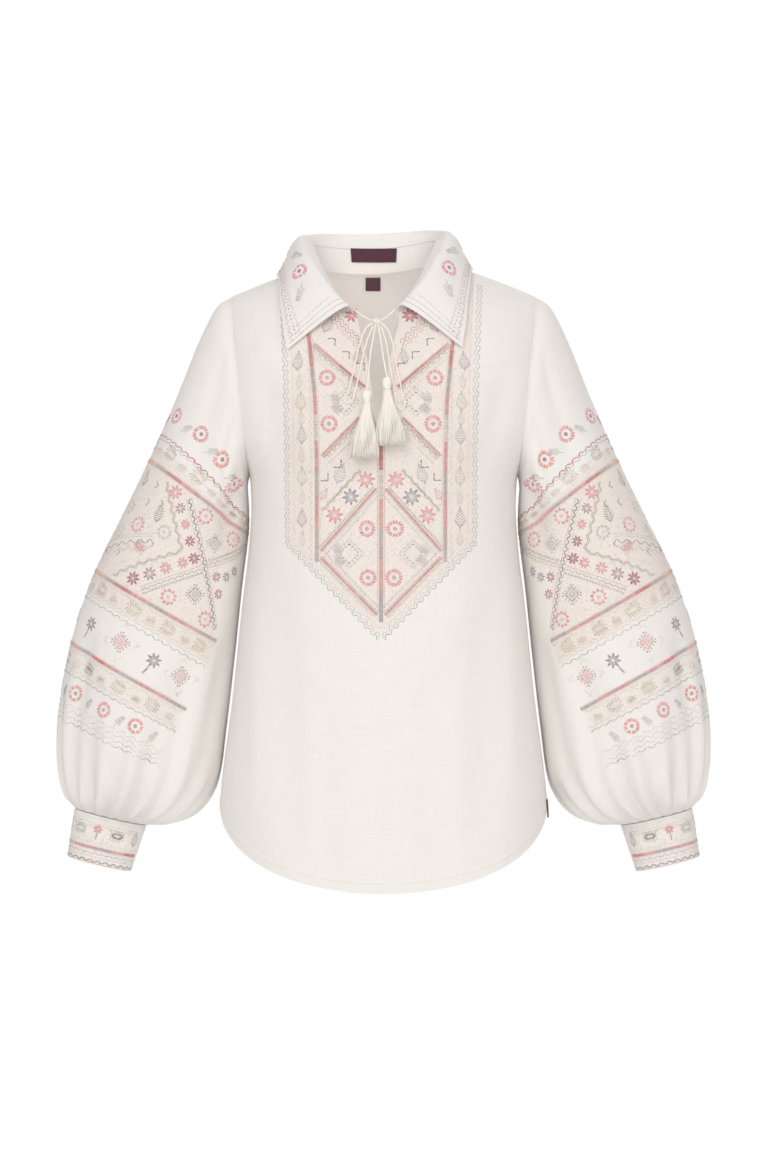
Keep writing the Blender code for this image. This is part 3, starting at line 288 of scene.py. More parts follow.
# Routes of the neck cords, seen from the front: x, z and how far they stand off the cloth
CORD_RADIUS = 0.0010
TIE_LEFT = ((-0.0320, -0.0600, 0.0016), (-0.0265, -0.0645, 0.0020), (-0.0195, -0.0690, 0.0030),
            (-0.0126, -0.0722, 0.0052))
TIE_RIGHT = ((0.0120, -0.0600, 0.0016), (0.0075, -0.0645, 0.0020), (0.0025, -0.0690, 0.0030),
             (-0.0029, -0.0722, 0.0052))
LOOP_LEFT = ((-0.0126, -0.0752, 0.0052), (-0.0190, -0.0810, 0.0044), (-0.0250, -0.0960, 0.0030),
             (-0.0300, -0.1150, 0.0026), (-0.0340, -0.1340, 0.0026), (-0.0385, -0.1500, 0.0026),
             (-0.0420, -0.1570, 0.0026), (-0.0400, -0.1630, 0.0026), (-0.0345, -0.1610, 0.0026),
             (-0.0310, -0.1500, 0.0026), (-0.0270, -0.1340, 0.0026), (-0.0225, -0.1130, 0.0026),
             (-0.0180, -0.0950, 0.0034), (-0.0112, -0.0781, 0.0055))
LOOP_RIGHT = ((-0.0028, -0.0748, 0.0052), (0.0040, -0.0820, 0.0044), (0.0100, -0.0980, 0.0030),
              (0.0135, -0.1180, 0.0026), (0.0175, -0.1380, 0.0026), (0.0215, -0.1580, 0.0026),
              (0.0230, -0.1660, 0.0026), (0.0195, -0.1705, 0.0026), (0.0145, -0.1660, 0.0026),
              (0.0125, -0.1550, 0.0026), (0.0095, -0.1370, 0.0026), (0.0060, -0.1160, 0.0026),
              (0.0025, -0.0960, 0.0034), (-0.0030, -0.0782, 0.0055))
END_LEFT = ((-0.0085, -0.0776, 0.0052), (-0.0105, -0.0880, 0.0046), (-0.0135, -0.1050, 0.0038),
            (-0.0155, -0.1220, 0.0034), (-0.0168, -0.1370, 0.0040), (-0.0180, -0.1486, 0.0060))
END_RIGHT = ((-0.0058, -0.0776, 0.0052), (-0.0040, -0.0880, 0.0046), (-0.0018, -0.1020, 0.0038),
             (0.0002, -0.1160, 0.0036), (0.0022, -0.1265, 0.0044), (0.0038, -0.1346, 0.0060))

KNOT_PLACE = (-0.0078, -0.0735)
KNOT_HALF = (0.0046, 0.0034, 0.0038)

TASSEL_TOPS = {"left": (-0.0180, -0.1490), "right": (0.0040, -0.1350)}
TASSEL_LENGTH = 0.076
TASSEL_HEAD_LENGTH = 0.014
TASSEL_HEAD_HALF = (0.0048, 0.0040)
TASSEL_SKIRT_HALF = (0.0166, 0.0060)
TASSEL_LEAN = {"left": -0.0035, "right": 0.0045}


# Reading tables and easing

def smooth_rows(rows, at):
    """Read every later column of a table at places in its first column, with a cubic through the rows."""
    numbers = np.array(rows, dtype=float)
    key = numbers[:, 0]
    values = numbers[:, 1:]
    slopes = np.gradient(values, key, axis=0)
    place = np.clip(np.asarray(at, dtype=float), key[0], key[-1])
    low = np.clip(np.searchsorted(key, place, side="right") - 1, 0, len(key) - 2)
    width = (key[low + 1] - key[low])[..., None]
    part = (place - key[low])[..., None] / width
    cube = part ** 3
    square = part ** 2
    result = (2 * cube - 3 * square + 1) * values[low]
    result += (cube - 2 * square + part) * width * slopes[low]
    result += (3 * square - 2 * cube) * values[low + 1]
    result += (cube - square) * width * slopes[low + 1]
    return np.moveaxis(result, -1, 0)


def ease(share):
    """Go from 0 to 1 with no slope at either end."""
    part = np.clip(share, 0.0, 1.0)
    return part * part * (3 - 2 * part)


def unit(vectors):
    """Vectors over their own length."""
    return vectors / np.maximum(np.linalg.norm(vectors, axis=-1, keepdims=True), 1e-12)


# The torso surface

def shoulder_line(x):
    """Height of the shoulder line over x: rounded in the middle, then falling a little faster further out."""
    away = np.sqrt(x ** 2 + RIDGE_ROUND ** 2) - RIDGE_ROUND
    return RIDGE_TOP - RIDGE_SLOPE * away - RIDGE_CURVE * x ** 2


def ring_depth(x, half_width, depth):
    """Depth of an oval ring at x: depth times (1 - share to the ring power) to one over that power."""
    share = np.clip(np.abs(x) / half_width, 0.0, 1.0)
    return depth * (1 - share ** RING_POWER) ** (1 / RING_POWER)


def fold_push(x, z, folds):
    """How far the long folds press the cloth in at (x, z): a bell across each fold, faded at its ends."""
    push = np.zeros(np.broadcast(x, z).shape)
    for x_a, z_a, x_b, z_b, half_width, depth in folds:
        run_x, run_z = x_b - x_a, z_b - z_a
        length = math.hypot(run_x, run_z)
        along = ((x - x_a) * run_x + (z - z_a) * run_z) / length ** 2
        across = ((x - x_a) * run_z - (z - z_a) * run_x) / length
        fade = ease(along / 0.35) * ease((1.15 - along) / 0.3)
        push = push + depth * fade * np.exp(-(across / half_width) ** 2)
    return push


def torso_point(x, level, side):
    """A point of the torso. side is -1 at the front, +1 at the back.

    level up to 0 is the height above the chest, in metres, and the point lies on that ring. From 0 to 1 it
    is a share of the quarter turn from the chest up and over to the shoulder line.
    """
    x, level = np.broadcast_arrays(np.asarray(x, float), np.asarray(level, float))
    height = CHEST_HEIGHT + np.minimum(level, 0.0)
    half_width, front, back = smooth_rows(TORSO_ROWS, height)
    depth = ring_depth(x, half_width, front if side < 0 else back)
    power = FRONT_ARCH_POWER if side < 0 else BACK_ARCH_POWER
    turn = np.clip(level, 0.0, 1.0) * math.pi / 2
    rise = np.sin(turn) ** (2 / power)
    z = height + (shoulder_line(x) - CHEST_HEIGHT) * rise
    depth = depth * np.clip(np.cos(turn), 0.0, 1.0) ** (2 / power)
    reach = ease((half_width - np.abs(x)) / 0.03) * ease((0.75 - level) / 0.6)
    depth = depth - fold_push(x, z, FRONT_FOLDS if side < 0 else BACK_FOLDS) * reach
    return np.stack([x, side * depth, z], axis=-1)


def arch_point(x, share):
    """A point above the chest by its share of the arch: -1 front chest, 0 shoulder line, +1 back chest."""
    x, share = np.broadcast_arrays(np.asarray(x, float), np.asarray(share, float))
    level = 1 - np.abs(share)
    front = torso_point(x, level, -1)
    back = torso_point(x, level, 1)
    return np.where((share < 0)[..., None], front, back)


def armhole_half_width(z):
    """Half the distance between the two armhole seams at a height: they lean out towards the shoulder."""
    return ARMHOLE_HALF_WIDTH + ARMHOLE_LEAN * (z - ARMPIT_HEIGHT)


def armhole_x(level, side):
    """Where the armhole crosses a level of the torso: the seam's own plane, met in three steps."""
    x = np.full(np.shape(level), 0.160)
    for _ in range(3):
        x = armhole_half_width(torso_point(x, level, side)[..., 2])
    return x


def arch_edge(share):
    """The armhole's distance from the middle at shares of the arch: front below 0, back above it."""
    level = 1 - np.abs(share)
    return np.where(share < 0, armhole_x(level, -1), armhole_x(level, 1))


def surface_normals(points, outward, closed=False):
    """Unit normals of a grid from its differences along both ways, turned to agree with outward."""
    wide = np.concatenate([points[:, -1:], points, points[:, :1]], axis=1) if closed else points
    normal = np.cross(np.gradient(wide, axis=0), np.gradient(wide, axis=1))
    normal = unit(normal[:, 1:-1] if closed else normal)
    return normal * (1.0 if (normal * outward).sum() > 0 else -1.0)


def torso_normals(points):
    """Outward directions near the torso: away from its upright middle line, leaning up above the chest."""
    x, y, z = points[..., 0], points[..., 1], points[..., 2]
    half_width, front, back = smooth_rows(TORSO_ROWS, np.minimum(z, CHEST_HEIGHT))
    depth = np.where(y < 0, front, back)
    height = np.maximum(shoulder_line(x) - CHEST_HEIGHT, 0.05)
    above = np.maximum(z - CHEST_HEIGHT, 0.0) / height
    share = np.clip(np.abs(x) / half_width, 0.0, 1.0)
    level_x = np.sign(x) * share ** (RING_POWER - 1) / half_width
    return unit(np.stack([level_x, y / depth ** 2, above / height], axis=-1))


# The neck opening, the hem and the slit

def neck_share(x):
    """Share of the arch on the neck curve's front half, an oval round the neck's own middle."""
    part = np.clip(np.abs(x - NECK_SHIFT) / NECK_HALF_WIDTH, 0.0, 1.0)
    return -NECK_FRONT_DEPTH * np.sqrt(1 - part ** 2)


def neck_corner_offset():
    """How far from the neck's middle the front yoke seam meets the neck curve."""
    return NECK_HALF_WIDTH * math.sqrt(1 - (FRONT_SEAM_SHARE / NECK_FRONT_DEPTH) ** 2)


def neck_curve(turn):
    """(x, share) round the neck oval: turn 0 at the back, a quarter turn at the right, half at the front."""
    x = NECK_SHIFT + NECK_HALF_WIDTH * np.sin(turn)
    share = np.cos(turn)
    share = np.where(share > 0, NECK_BACK_DEPTH * share, NECK_FRONT_DEPTH * share)
    return x, share


def hem_height(x, half_width):
    """Shirt-tail hem: it rises with the square of the turn from the middle, rounded at the side seam."""
    turn = np.arcsin(np.clip(np.abs(x) / half_width, 0.0, 1.0)) * 2 / math.pi
    rounded = 1 - np.sqrt((1 - turn) ** 2 + HEM_NOTCH_ROUND ** 2 * turn ** 4)
    return HEM_HEIGHT + HEM_NOTCH_RISE * rounded ** 2


def slit_half_width(z):
    """Half the V opening's width: nothing at its end, then quickly open, and wide at the neck."""
    share = np.clip((z - SLIT_END_HEIGHT) / (SLIT_TOP_HEIGHT - SLIT_END_HEIGHT), 0.0, 1.0)
    widening = SLIT_TOP_HALF_WIDTH - SLIT_LOW_HALF_WIDTH
    return SLIT_END_HALF_WIDTH + (SLIT_LOW_HALF_WIDTH * np.sqrt(share) + widening * share ** 2.2)


# Making meshes

def new_object(name, vertices, faces, material, uv=None, colour=None, worked=None):
    """A mesh object from arrays of points and of equal-sided faces, with corner UVs and point attributes."""
    mesh = bpy.data.meshes.new(name)
    sides = faces.shape[1]
    mesh.vertices.add(len(vertices))
    mesh.vertices.foreach_set("co", np.ascontiguousarray(vertices, dtype=np.float32).ravel())
    mesh.loops.add(faces.size)
    mesh.loops.foreach_set("vertex_index", np.ascontiguousarray(faces, dtype=np.int32).ravel())
    mesh.polygons.add(len(faces))
    mesh.polygons.foreach_set("loop_start", np.arange(0, faces.size, sides, dtype=np.int32))
    mesh.update(calc_edges=True)
    mesh.polygons.foreach_set("use_smooth", np.ones(len(faces), dtype=bool))
    if uv is not None:
        layer = mesh.uv_layers.new(name="UVMap")
        layer.data.foreach_set("uv", np.ascontiguousarray(uv, dtype=np.float32).ravel())
    if colour is not None:
        layer = mesh.attributes.new("thread_colour", "FLOAT_COLOR", "POINT")
        full = np.concatenate([colour, np.ones((len(colour), 1))], axis=1)
        layer.data.foreach_set("color", np.ascontiguousarray(full, dtype=np.float32).ravel())
    if worked is not None:
        layer = mesh.attributes.new("worked", "FLOAT", "POINT")
        layer.data.foreach_set("value", np.ascontiguousarray(worked, dtype=np.float32).ravel())
    mesh.materials.append(material)
    mesh.validate()
    piece = bpy.data.objects.new(name, mesh)
    bpy.context.scene.collection.objects.link(piece)
    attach(piece, "root")
    return piece


def cloth_lengths(points, middle):
    """Where each grid point lies on the flat cloth: lengths along its row and its column, in metres."""
    across = np.linalg.norm(np.diff(points, axis=1), axis=-1)
    across = np.concatenate([np.zeros((len(points), 1)), np.cumsum(across, axis=1)], axis=1)
    across = across - across[:, middle:middle + 1]
    along = np.linalg.norm(np.diff(points, axis=0), axis=-1).mean(axis=1)
    along = np.concatenate([[0], np.cumsum(along)])
    return np.stack([across, np.repeat(along[:, None], points.shape[1], axis=1)], axis=-1)


MIRROR = np.array([-1.0, 1.0, 1.0])


def cloth_wall(name, outer, inward, material, closed=False, skipped=None, worked=None, mirror=False,
               middle=0):
    """A thin wall between a grid of outer points and the same grid moved by inward, closed along its rims.

    With closed, the last column joins the first. skipped marks the cells that are left open. mirror turns
    the left piece into the right one.
    """
    rows, columns = outer.shape[:2]
    if mirror:
        outer, inward = outer * MIRROR, inward * MIRROR
    wide = columns if closed else columns - 1
    row, column = np.meshgrid(np.arange(rows - 1), np.arange(wide), indexing="ij")
    kept = np.ones(row.shape, dtype=bool) if skipped is None else ~skipped
    row, column = row[kept], column[kept]
    corner_row = np.stack([row, row, row + 1, row + 1], axis=1)
    corner_column = np.stack([column, column + 1, column + 1, column], axis=1)
    quads = corner_row * columns + corner_column % columns
    probe = outer.reshape(-1, 3)[quads[:1, :3]][0]
    facing = np.cross(probe[1] - probe[0], probe[2] - probe[0])
    away = -inward.reshape(-1, 3)[quads[0, 0]]
    order = [0, 1, 2, 3] if facing @ away > 0 else [3, 2, 1, 0]
    quads, corner_row, corner_column = quads[:, order], corner_row[:, order], corner_column[:, order]
    start = quads.ravel()
    end = np.roll(quads, -1, axis=1).ravel()
    key = np.minimum(start, end) * (rows * columns) + np.maximum(start, end)
    _, first, count = np.unique(key, return_index=True, return_counts=True)
    rim = first[count == 1]
    inner = rows * columns
    sides = np.stack([end[rim], start[rim], start[rim] + inner, end[rim] + inner], axis=1)
    faces = np.concatenate([quads, quads[:, ::-1] + inner, sides])
    span = np.concatenate([outer, outer[:, :1]], axis=1) if closed else outer
    flat = cloth_lengths(span, middle)
    face_uv = flat[corner_row, corner_column]
    rim_start = face_uv.reshape(-1, 2)[rim]
    rim_end = np.roll(face_uv, -1, axis=1).reshape(-1, 2)[rim]
    rim_uv = np.stack([rim_end, rim_start, rim_start + CLOTH_WALL, rim_end + CLOTH_WALL], axis=1)
    uv = np.concatenate([face_uv, face_uv[:, ::-1], rim_uv]).reshape(-1, 2)
    vertices = np.concatenate([outer.reshape(-1, 3), (outer + inward).reshape(-1, 3)])
    shown = None if worked is None else np.concatenate([worked.ravel(), worked.ravel() * 0])
    used = np.zeros(len(vertices), dtype=bool)
    used[faces] = True
    renumber = np.cumsum(used) - 1
    shown = None if shown is None else shown[used]
    piece = new_object(name, vertices[used], renumber[faces], material, uv=uv, worked=shown)
    crisp(piece, 50)
    return piece


def crisp(piece, degrees):
    """Keep rims sharper than this angle crisp and the rest smooth."""
    piece.data.set_sharp_from_angle(angle=math.radians(degrees))


def tubes(name, paths, radii, sides, material, twist=0.0, lobes=0, lobe_depth=0.0, flatten=1.0):
    """Round threads or cords along paths, all in one mesh, closed at both ends with a fan.

    paths is tubes by points by 3 and radii is tubes by points. Rings stand square to the path. Their radius
    is waved round by lobes whose peaks turn with the length, as the plies of a twisted cord do. flatten
    narrows them one way.
    """
    count, steps = paths.shape[:2]
    direction = unit(np.gradient(paths, axis=1))
    first = unit(np.cross(direction, np.array([0.0, -1.0, 0.15])))
    second = np.cross(direction, first) * flatten
    lengths = np.linalg.norm(np.diff(paths, axis=1), axis=-1)
    lengths = np.concatenate([np.zeros((count, 1)), np.cumsum(lengths, axis=1)], axis=1)
    turn = np.arange(sides) / sides * 2 * math.pi
    wave = np.cos(lobes * turn - lengths[..., None] * twist * 2 * math.pi)
    size = radii[..., None] * (1 + lobe_depth * (wave - 1) / 2)
    rings = paths[:, :, None] + first[:, :, None] * (size * np.cos(turn))[..., None]
    rings = rings + second[:, :, None] * (size * np.sin(turn))[..., None]
    vertices = np.concatenate([rings.reshape(count, -1, 3), paths[:, :1], paths[:, -1:]], axis=1)
    row, column = np.meshgrid(np.arange(steps - 1), np.arange(sides), indexing="ij")
    row, column = row.ravel(), column.ravel()
    after = (column + 1) % sides
    a, b = row * sides + column, row * sides + after
    c, d = (row + 1) * sides + after, (row + 1) * sides + column
    loop = np.arange(sides)
    beyond = (loop + 1) % sides
    last = (steps - 1) * sides
    start = np.stack([np.full(sides, steps * sides), beyond, loop], axis=1)
    end = np.stack([np.full(sides, steps * sides + 1), last + loop, last + beyond], axis=1)
    one = np.concatenate([np.stack([a, b, c], 1), np.stack([a, c, d], 1), start, end])
    share = column / sides
    step = 1 / sides
    uv_one = np.concatenate([
        np.stack([np.stack([share, row], -1), np.stack([share + step, row], -1),
                  np.stack([share + step, row + 1], -1)], 1),
        np.stack([np.stack([share, row], -1), np.stack([share + step, row + 1], -1),
                  np.stack([share, row + 1], -1)], 1),
        np.zeros((2 * sides, 3, 2))])
    spacing = lengths[:, -1].mean() / (steps - 1)
    uv = np.tile(uv_one * np.array([1.0, spacing]), (count, 1, 1)).reshape(-1, 2)
    faces = (one[None] + (np.arange(count) * vertices.shape[1])[:, None, None]).reshape(-1, 3)
    return new_object(name, vertices.reshape(-1, 3), faces, material, uv=uv)


# Materials

def srgb(red, green, blue):
    """A colour given as 0 to 255 on a screen, as light."""
    part = np.array([red, green, blue]) / 255
    light = np.where(part <= 0.04045, part / 12.92, ((part + 0.055) / 1.055) ** 2.4)
    return tuple(float(value) for value in light)


LINEN = srgb(243, 240, 237)
LINEN_SLUB = srgb(233, 228, 223)
LINEN_DEEP = srgb(239, 234, 229)
WORKED = srgb(246, 237, 229)
WORKED_DEEP = srgb(237, 223, 213)
COTTON = srgb(254, 250, 242)
COTTON_DEEP = srgb(248, 240, 226)
MAROON = srgb(84, 24, 52)
MAROON_DEEP = srgb(60, 14, 36)

THREAD_PITCH = 0.00052
SLUB_LONG = 0.030
SLUB_THIN = 0.0009
GROUND_STITCH = 0.0026
LATTICE_STEP = 0.0066
LATTICE = srgb(226, 200, 194)


def add_node(tree, kind, settings=None, inputs=None):
    """A node with its settings and inputs. An input that is a socket is linked, any other is a value."""
    made = tree.nodes.new(kind)
    for key, value in (settings or {}).items():
        setattr(made, key, value)
    for key, value in (inputs or {}).items():
        if isinstance(value, bpy.types.NodeSocket):
            tree.links.new(value, made.inputs[key])
        else:
            made.inputs[key].default_value = value
    return made


def calc(tree, operation, first, second=0.0):
    """The result of one sum on sockets or numbers."""
    made = add_node(tree, "ShaderNodeMath", {"operation": operation}, {0: first, 1: second})
    return made.outputs[0]


def blend_colours(tree, factor, first, second):
    """The mix of two colours by a factor."""
    made = tree.nodes.new("ShaderNodeMix")
    made.data_type = "RGBA"
    for socket, value in zip([made.inputs[key] for key in ("Factor", "A", "B")], (factor, first, second)):
        if isinstance(value, bpy.types.NodeSocket):
            tree.links.new(value, socket)
        elif isinstance(value, tuple):
            socket.default_value = (*value, 1.0)
        else:
            socket.default_value = value
    return made.outputs["Result"]


def start_material(name, roughness, sheen=0.0):
    """A new material with its tree and shader."""
    material = bpy.data.materials.new(name)
    material.use_nodes = True
    shader = material.node_tree.nodes["Principled BSDF"]
    shader.inputs["Roughness"].default_value = roughness
    shader.inputs["Sheen Weight"].default_value = sheen
    shader.inputs["Sheen Roughness"].default_value = 0.5
    return material, material.node_tree, shader


def stretched_noise(tree, first, second, long, thin, detail):
    """Noise over two flat lengths, drawn out to long one way and thin the other."""
    place = add_node(tree, "ShaderNodeCombineXYZ", None,
                     {0: calc(tree, "DIVIDE", first, long), 1: calc(tree, "DIVIDE", second, thin)})
    noise = add_node(tree, "ShaderNodeTexNoise", None,
                     {"Vector": place.outputs[0], "Scale": 1.0, "Detail": detail})
    return noise.outputs["Fac"]


def lattice_line(tree, operation, across, along):
    """1 on slanted lines an even step apart and 0 between them, with dashes along them."""
    other = "SUBTRACT" if operation == "ADD" else "ADD"
    place = calc(tree, "MULTIPLY", calc(tree, operation, across, along), math.pi / LATTICE_STEP)
    dash = calc(tree, "MULTIPLY", calc(tree, other, across, along), 6 * math.pi / LATTICE_STEP)
    away = calc(tree, "ABSOLUTE", calc(tree, "SINE", place))
    line = add_node(tree, "ShaderNodeMath", {"operation": "SUBTRACT", "use_clamp": True},
                    {0: 1.0, 1: calc(tree, "MULTIPLY", away, 3.2)}).outputs[0]
    broken = calc(tree, "ADD", calc(tree, "MULTIPLY", calc(tree, "SINE", dash), 0.35), 0.65)
    return calc(tree, "MULTIPLY", line, broken)


def make_linen(name, light, slub, deep):
    """Plain-woven linen: crossed threads on the flat cloth's lengths, with thicker slubs along both ways.

    Where the point attribute worked is 1 the cloth is covered in pale ground stitches: pinker and pebbled.
    """
    material, tree, shader = start_material(name, 0.86, 0.18)
    flat = add_node(tree, "ShaderNodeTexCoord").outputs["UV"]
    parts = add_node(tree, "ShaderNodeSeparateXYZ", None, {0: flat})
    across, along = parts.outputs[0], parts.outputs[1]
    pulse = 2 * math.pi / THREAD_PITCH
    weft = calc(tree, "SINE", calc(tree, "MULTIPLY", across, pulse))
    warp = calc(tree, "SINE", calc(tree, "MULTIPLY", along, pulse))
    weave = calc(tree, "MULTIPLY", weft, warp)
    slub_a = stretched_noise(tree, across, along, SLUB_LONG, SLUB_THIN, 2.0)
    slub_b = stretched_noise(tree, along, across, SLUB_LONG, SLUB_THIN, 2.0)
    slubs = calc(tree, "ADD", slub_a, slub_b)
    worked = add_node(tree, "ShaderNodeAttribute", {"attribute_name": "worked"}).outputs["Fac"]
    step = 2 * math.pi / GROUND_STITCH
    pebble_a = calc(tree, "SINE", calc(tree, "MULTIPLY", calc(tree, "ADD", across, along), step))
    pebble_b = calc(tree, "SINE", calc(tree, "MULTIPLY", calc(tree, "SUBTRACT", across, along), step))
    pebbles = calc(tree, "MULTIPLY", pebble_a, pebble_b)
    broad = stretched_noise(tree, across, along, 0.05, 0.05, 3.0)
    spread = calc(tree, "MULTIPLY", calc(tree, "SUBTRACT", slubs, 0.75), 1.4)
    spread_clear = add_node(tree, "ShaderNodeMath", {"operation": "MULTIPLY", "use_clamp": True},
                            {0: spread, 1: 1.0}).outputs[0]
    cloth = blend_colours(tree, spread_clear, light, slub)
    cloth = blend_colours(tree, calc(tree, "MULTIPLY", broad, 0.5), cloth, deep)
    motley = stretched_noise(tree, across, along, 0.004, 0.004, 2.0)
    ground = blend_colours(tree, motley, WORKED, WORKED_DEEP)
    slants = [lattice_line(tree, operation, across, along) for operation in ("ADD", "SUBTRACT")]
    lattice = calc(tree, "MAXIMUM", *slants)
    ground = blend_colours(tree, calc(tree, "MULTIPLY", lattice, 0.60), ground, LATTICE)
    shade = blend_colours(tree, calc(tree, "MULTIPLY", worked, 0.62), cloth, ground)
    tree.links.new(shade, shader.inputs["Base Color"])
    height = calc(tree, "ADD", calc(tree, "MULTIPLY", weave, 0.35), slubs)
    raised = calc(tree, "MULTIPLY", calc(tree, "ADD", pebbles, calc(tree, "MULTIPLY", lattice, 2.0)), worked)
    bump = add_node(tree, "ShaderNodeBump", None,
                    {"Height": calc(tree, "ADD", height, raised), "Distance": 0.00016, "Strength": 0.75})
    tree.links.new(bump.outputs[0], shader.inputs["Normal"])
    return material


def make_thread(name, roughness, sheen):
    """Embroidery thread: each stitch its own colour, with fine strands along it."""
    material, tree, shader = start_material(name, roughness, sheen)
    colour = add_node(tree, "ShaderNodeAttribute", {"attribute_name": "thread_colour"}).outputs["Color"]
    flat = add_node(tree, "ShaderNodeTexCoord").outputs["UV"]
    parts = add_node(tree, "ShaderNodeSeparateXYZ", None, {0: flat})
    strands = calc(tree, "SINE", calc(tree, "MULTIPLY", parts.outputs[0], 2 * math.pi * 4))
    fleck = add_node(tree, "ShaderNodeTexNoise", None, {"Vector": flat, "Scale": 9.0, "Detail": 1.0})
    dark = add_node(tree, "ShaderNodeMix", {"data_type": "RGBA", "blend_type": "MULTIPLY"},
                    {"B": (0.93, 0.92, 0.92, 1.0)})
    tree.links.new(colour, dark.inputs["A"])
    tree.links.new(fleck.outputs["Fac"], dark.inputs["Factor"])
    tree.links.new(dark.outputs["Result"], shader.inputs["Base Color"])
    bump = add_node(tree, "ShaderNodeBump", None, {"Height": strands, "Distance": 0.00008, "Strength": 0.6})
    tree.links.new(bump.outputs[0], shader.inputs["Normal"])
    return material


def make_cotton(name):
    """Cream cotton: fibres that run slantwise round a cord or down a thread, darker between them."""
    material, tree, shader = start_material(name, 0.7, 0.8)
    flat = add_node(tree, "ShaderNodeTexCoord").outputs["UV"]
    parts = add_node(tree, "ShaderNodeSeparateXYZ", None, {0: flat})
    slant = calc(tree, "SUBTRACT", calc(tree, "MULTIPLY", parts.outputs[0], 2 * math.pi * 6),
                 calc(tree, "MULTIPLY", parts.outputs[1], 2 * math.pi / 0.0012))
    fibres = calc(tree, "SINE", slant)
    fleck = add_node(tree, "ShaderNodeTexNoise", None, {"Vector": flat, "Scale": 40.0, "Detail": 2.0})
    shade = blend_colours(tree, fleck.outputs["Fac"], COTTON, COTTON_DEEP)
    tree.links.new(shade, shader.inputs["Base Color"])
    bump = add_node(tree, "ShaderNodeBump", None, {"Height": fibres, "Distance": 0.00008, "Strength": 0.5})
    tree.links.new(bump.outputs[0], shader.inputs["Normal"])
    return material


def make_label_cloth(name):
    """Dense maroon label satin: fine ribs across, finer lines the other way and long thin flecks."""
    material, tree, shader = start_material(name, 0.5, 0.3)
    flat = add_node(tree, "ShaderNodeTexCoord").outputs["UV"]
    parts = add_node(tree, "ShaderNodeSeparateXYZ", None, {0: flat})
    ribs = calc(tree, "SINE", calc(tree, "MULTIPLY", parts.outputs[1], 2 * math.pi / 0.00045))
    fine = calc(tree, "SINE", calc(tree, "MULTIPLY", parts.outputs[0], 2 * math.pi / 0.0003))
    fleck = stretched_noise(tree, parts.outputs[0], parts.outputs[1], 0.003, 0.0006, 2.0)
    tree.links.new(blend_colours(tree, fleck, MAROON, MAROON_DEEP), shader.inputs["Base Color"])
    bump = add_node(tree, "ShaderNodeBump", None,
                    {"Height": calc(tree, "ADD", ribs, calc(tree, "MULTIPLY", fine, 0.4)),
                     "Distance": 0.00008, "Strength": 0.6})
    tree.links.new(bump.outputs[0], shader.inputs["Normal"])
    return material


# Front, back and yoke at a fine spacing

SKIRT_LENGTH = 0.457
HALF_COLUMNS = 66
NECK_COLUMNS = 28
FRONT_LOW_ROWS = 22
FRONT_ARCH_ROWS = 34
BACK_ARCH_ROWS = 8
HEM_STEPS = (0.0, 0.5, 1.2, 2.4, 3.8, 5.2, 6.6, 8.0, 9.4, 10.6, 11.4, 12.0, 12.6, 14.0)
HEM_SHARES = np.array(HEM_STEPS) / 1000 / SKIRT_LENGTH
BODY_SHARES = np.linspace(0.018 / SKIRT_LENGTH, 1, 78)[:-1]
BIB_MIDDLE = -0.0028
BIB_HALF_WIDTH = 0.1040
BIB_CORNER = -0.314
BIB_TIP = -0.419


def spread(column, edge, turn, hand, z, neck):
    """Places across half a panel: even steps of turn round the ring, starting at the slit in front."""
    start = SLIT_CENTRE + hand * slit_half_width(np.asarray(z, float)) if neck else 0.0
    share = np.sin(column * turn) / np.sin(turn)
    return start + (hand * edge - start) * share


def side_edge(level, side):
    """Half the panel's width at a level: the side seam below the armpit, the armhole above it."""
    height = CHEST_HEIGHT + np.minimum(level, 0.0)
    half_width = smooth_rows(TORSO_ROWS, height)[0]
    edge = np.where(height > ARMPIT_HEIGHT + 1e-6, armhole_x(level, side), half_width * RING_REACH)
    return np.minimum(edge, half_width * RING_REACH)


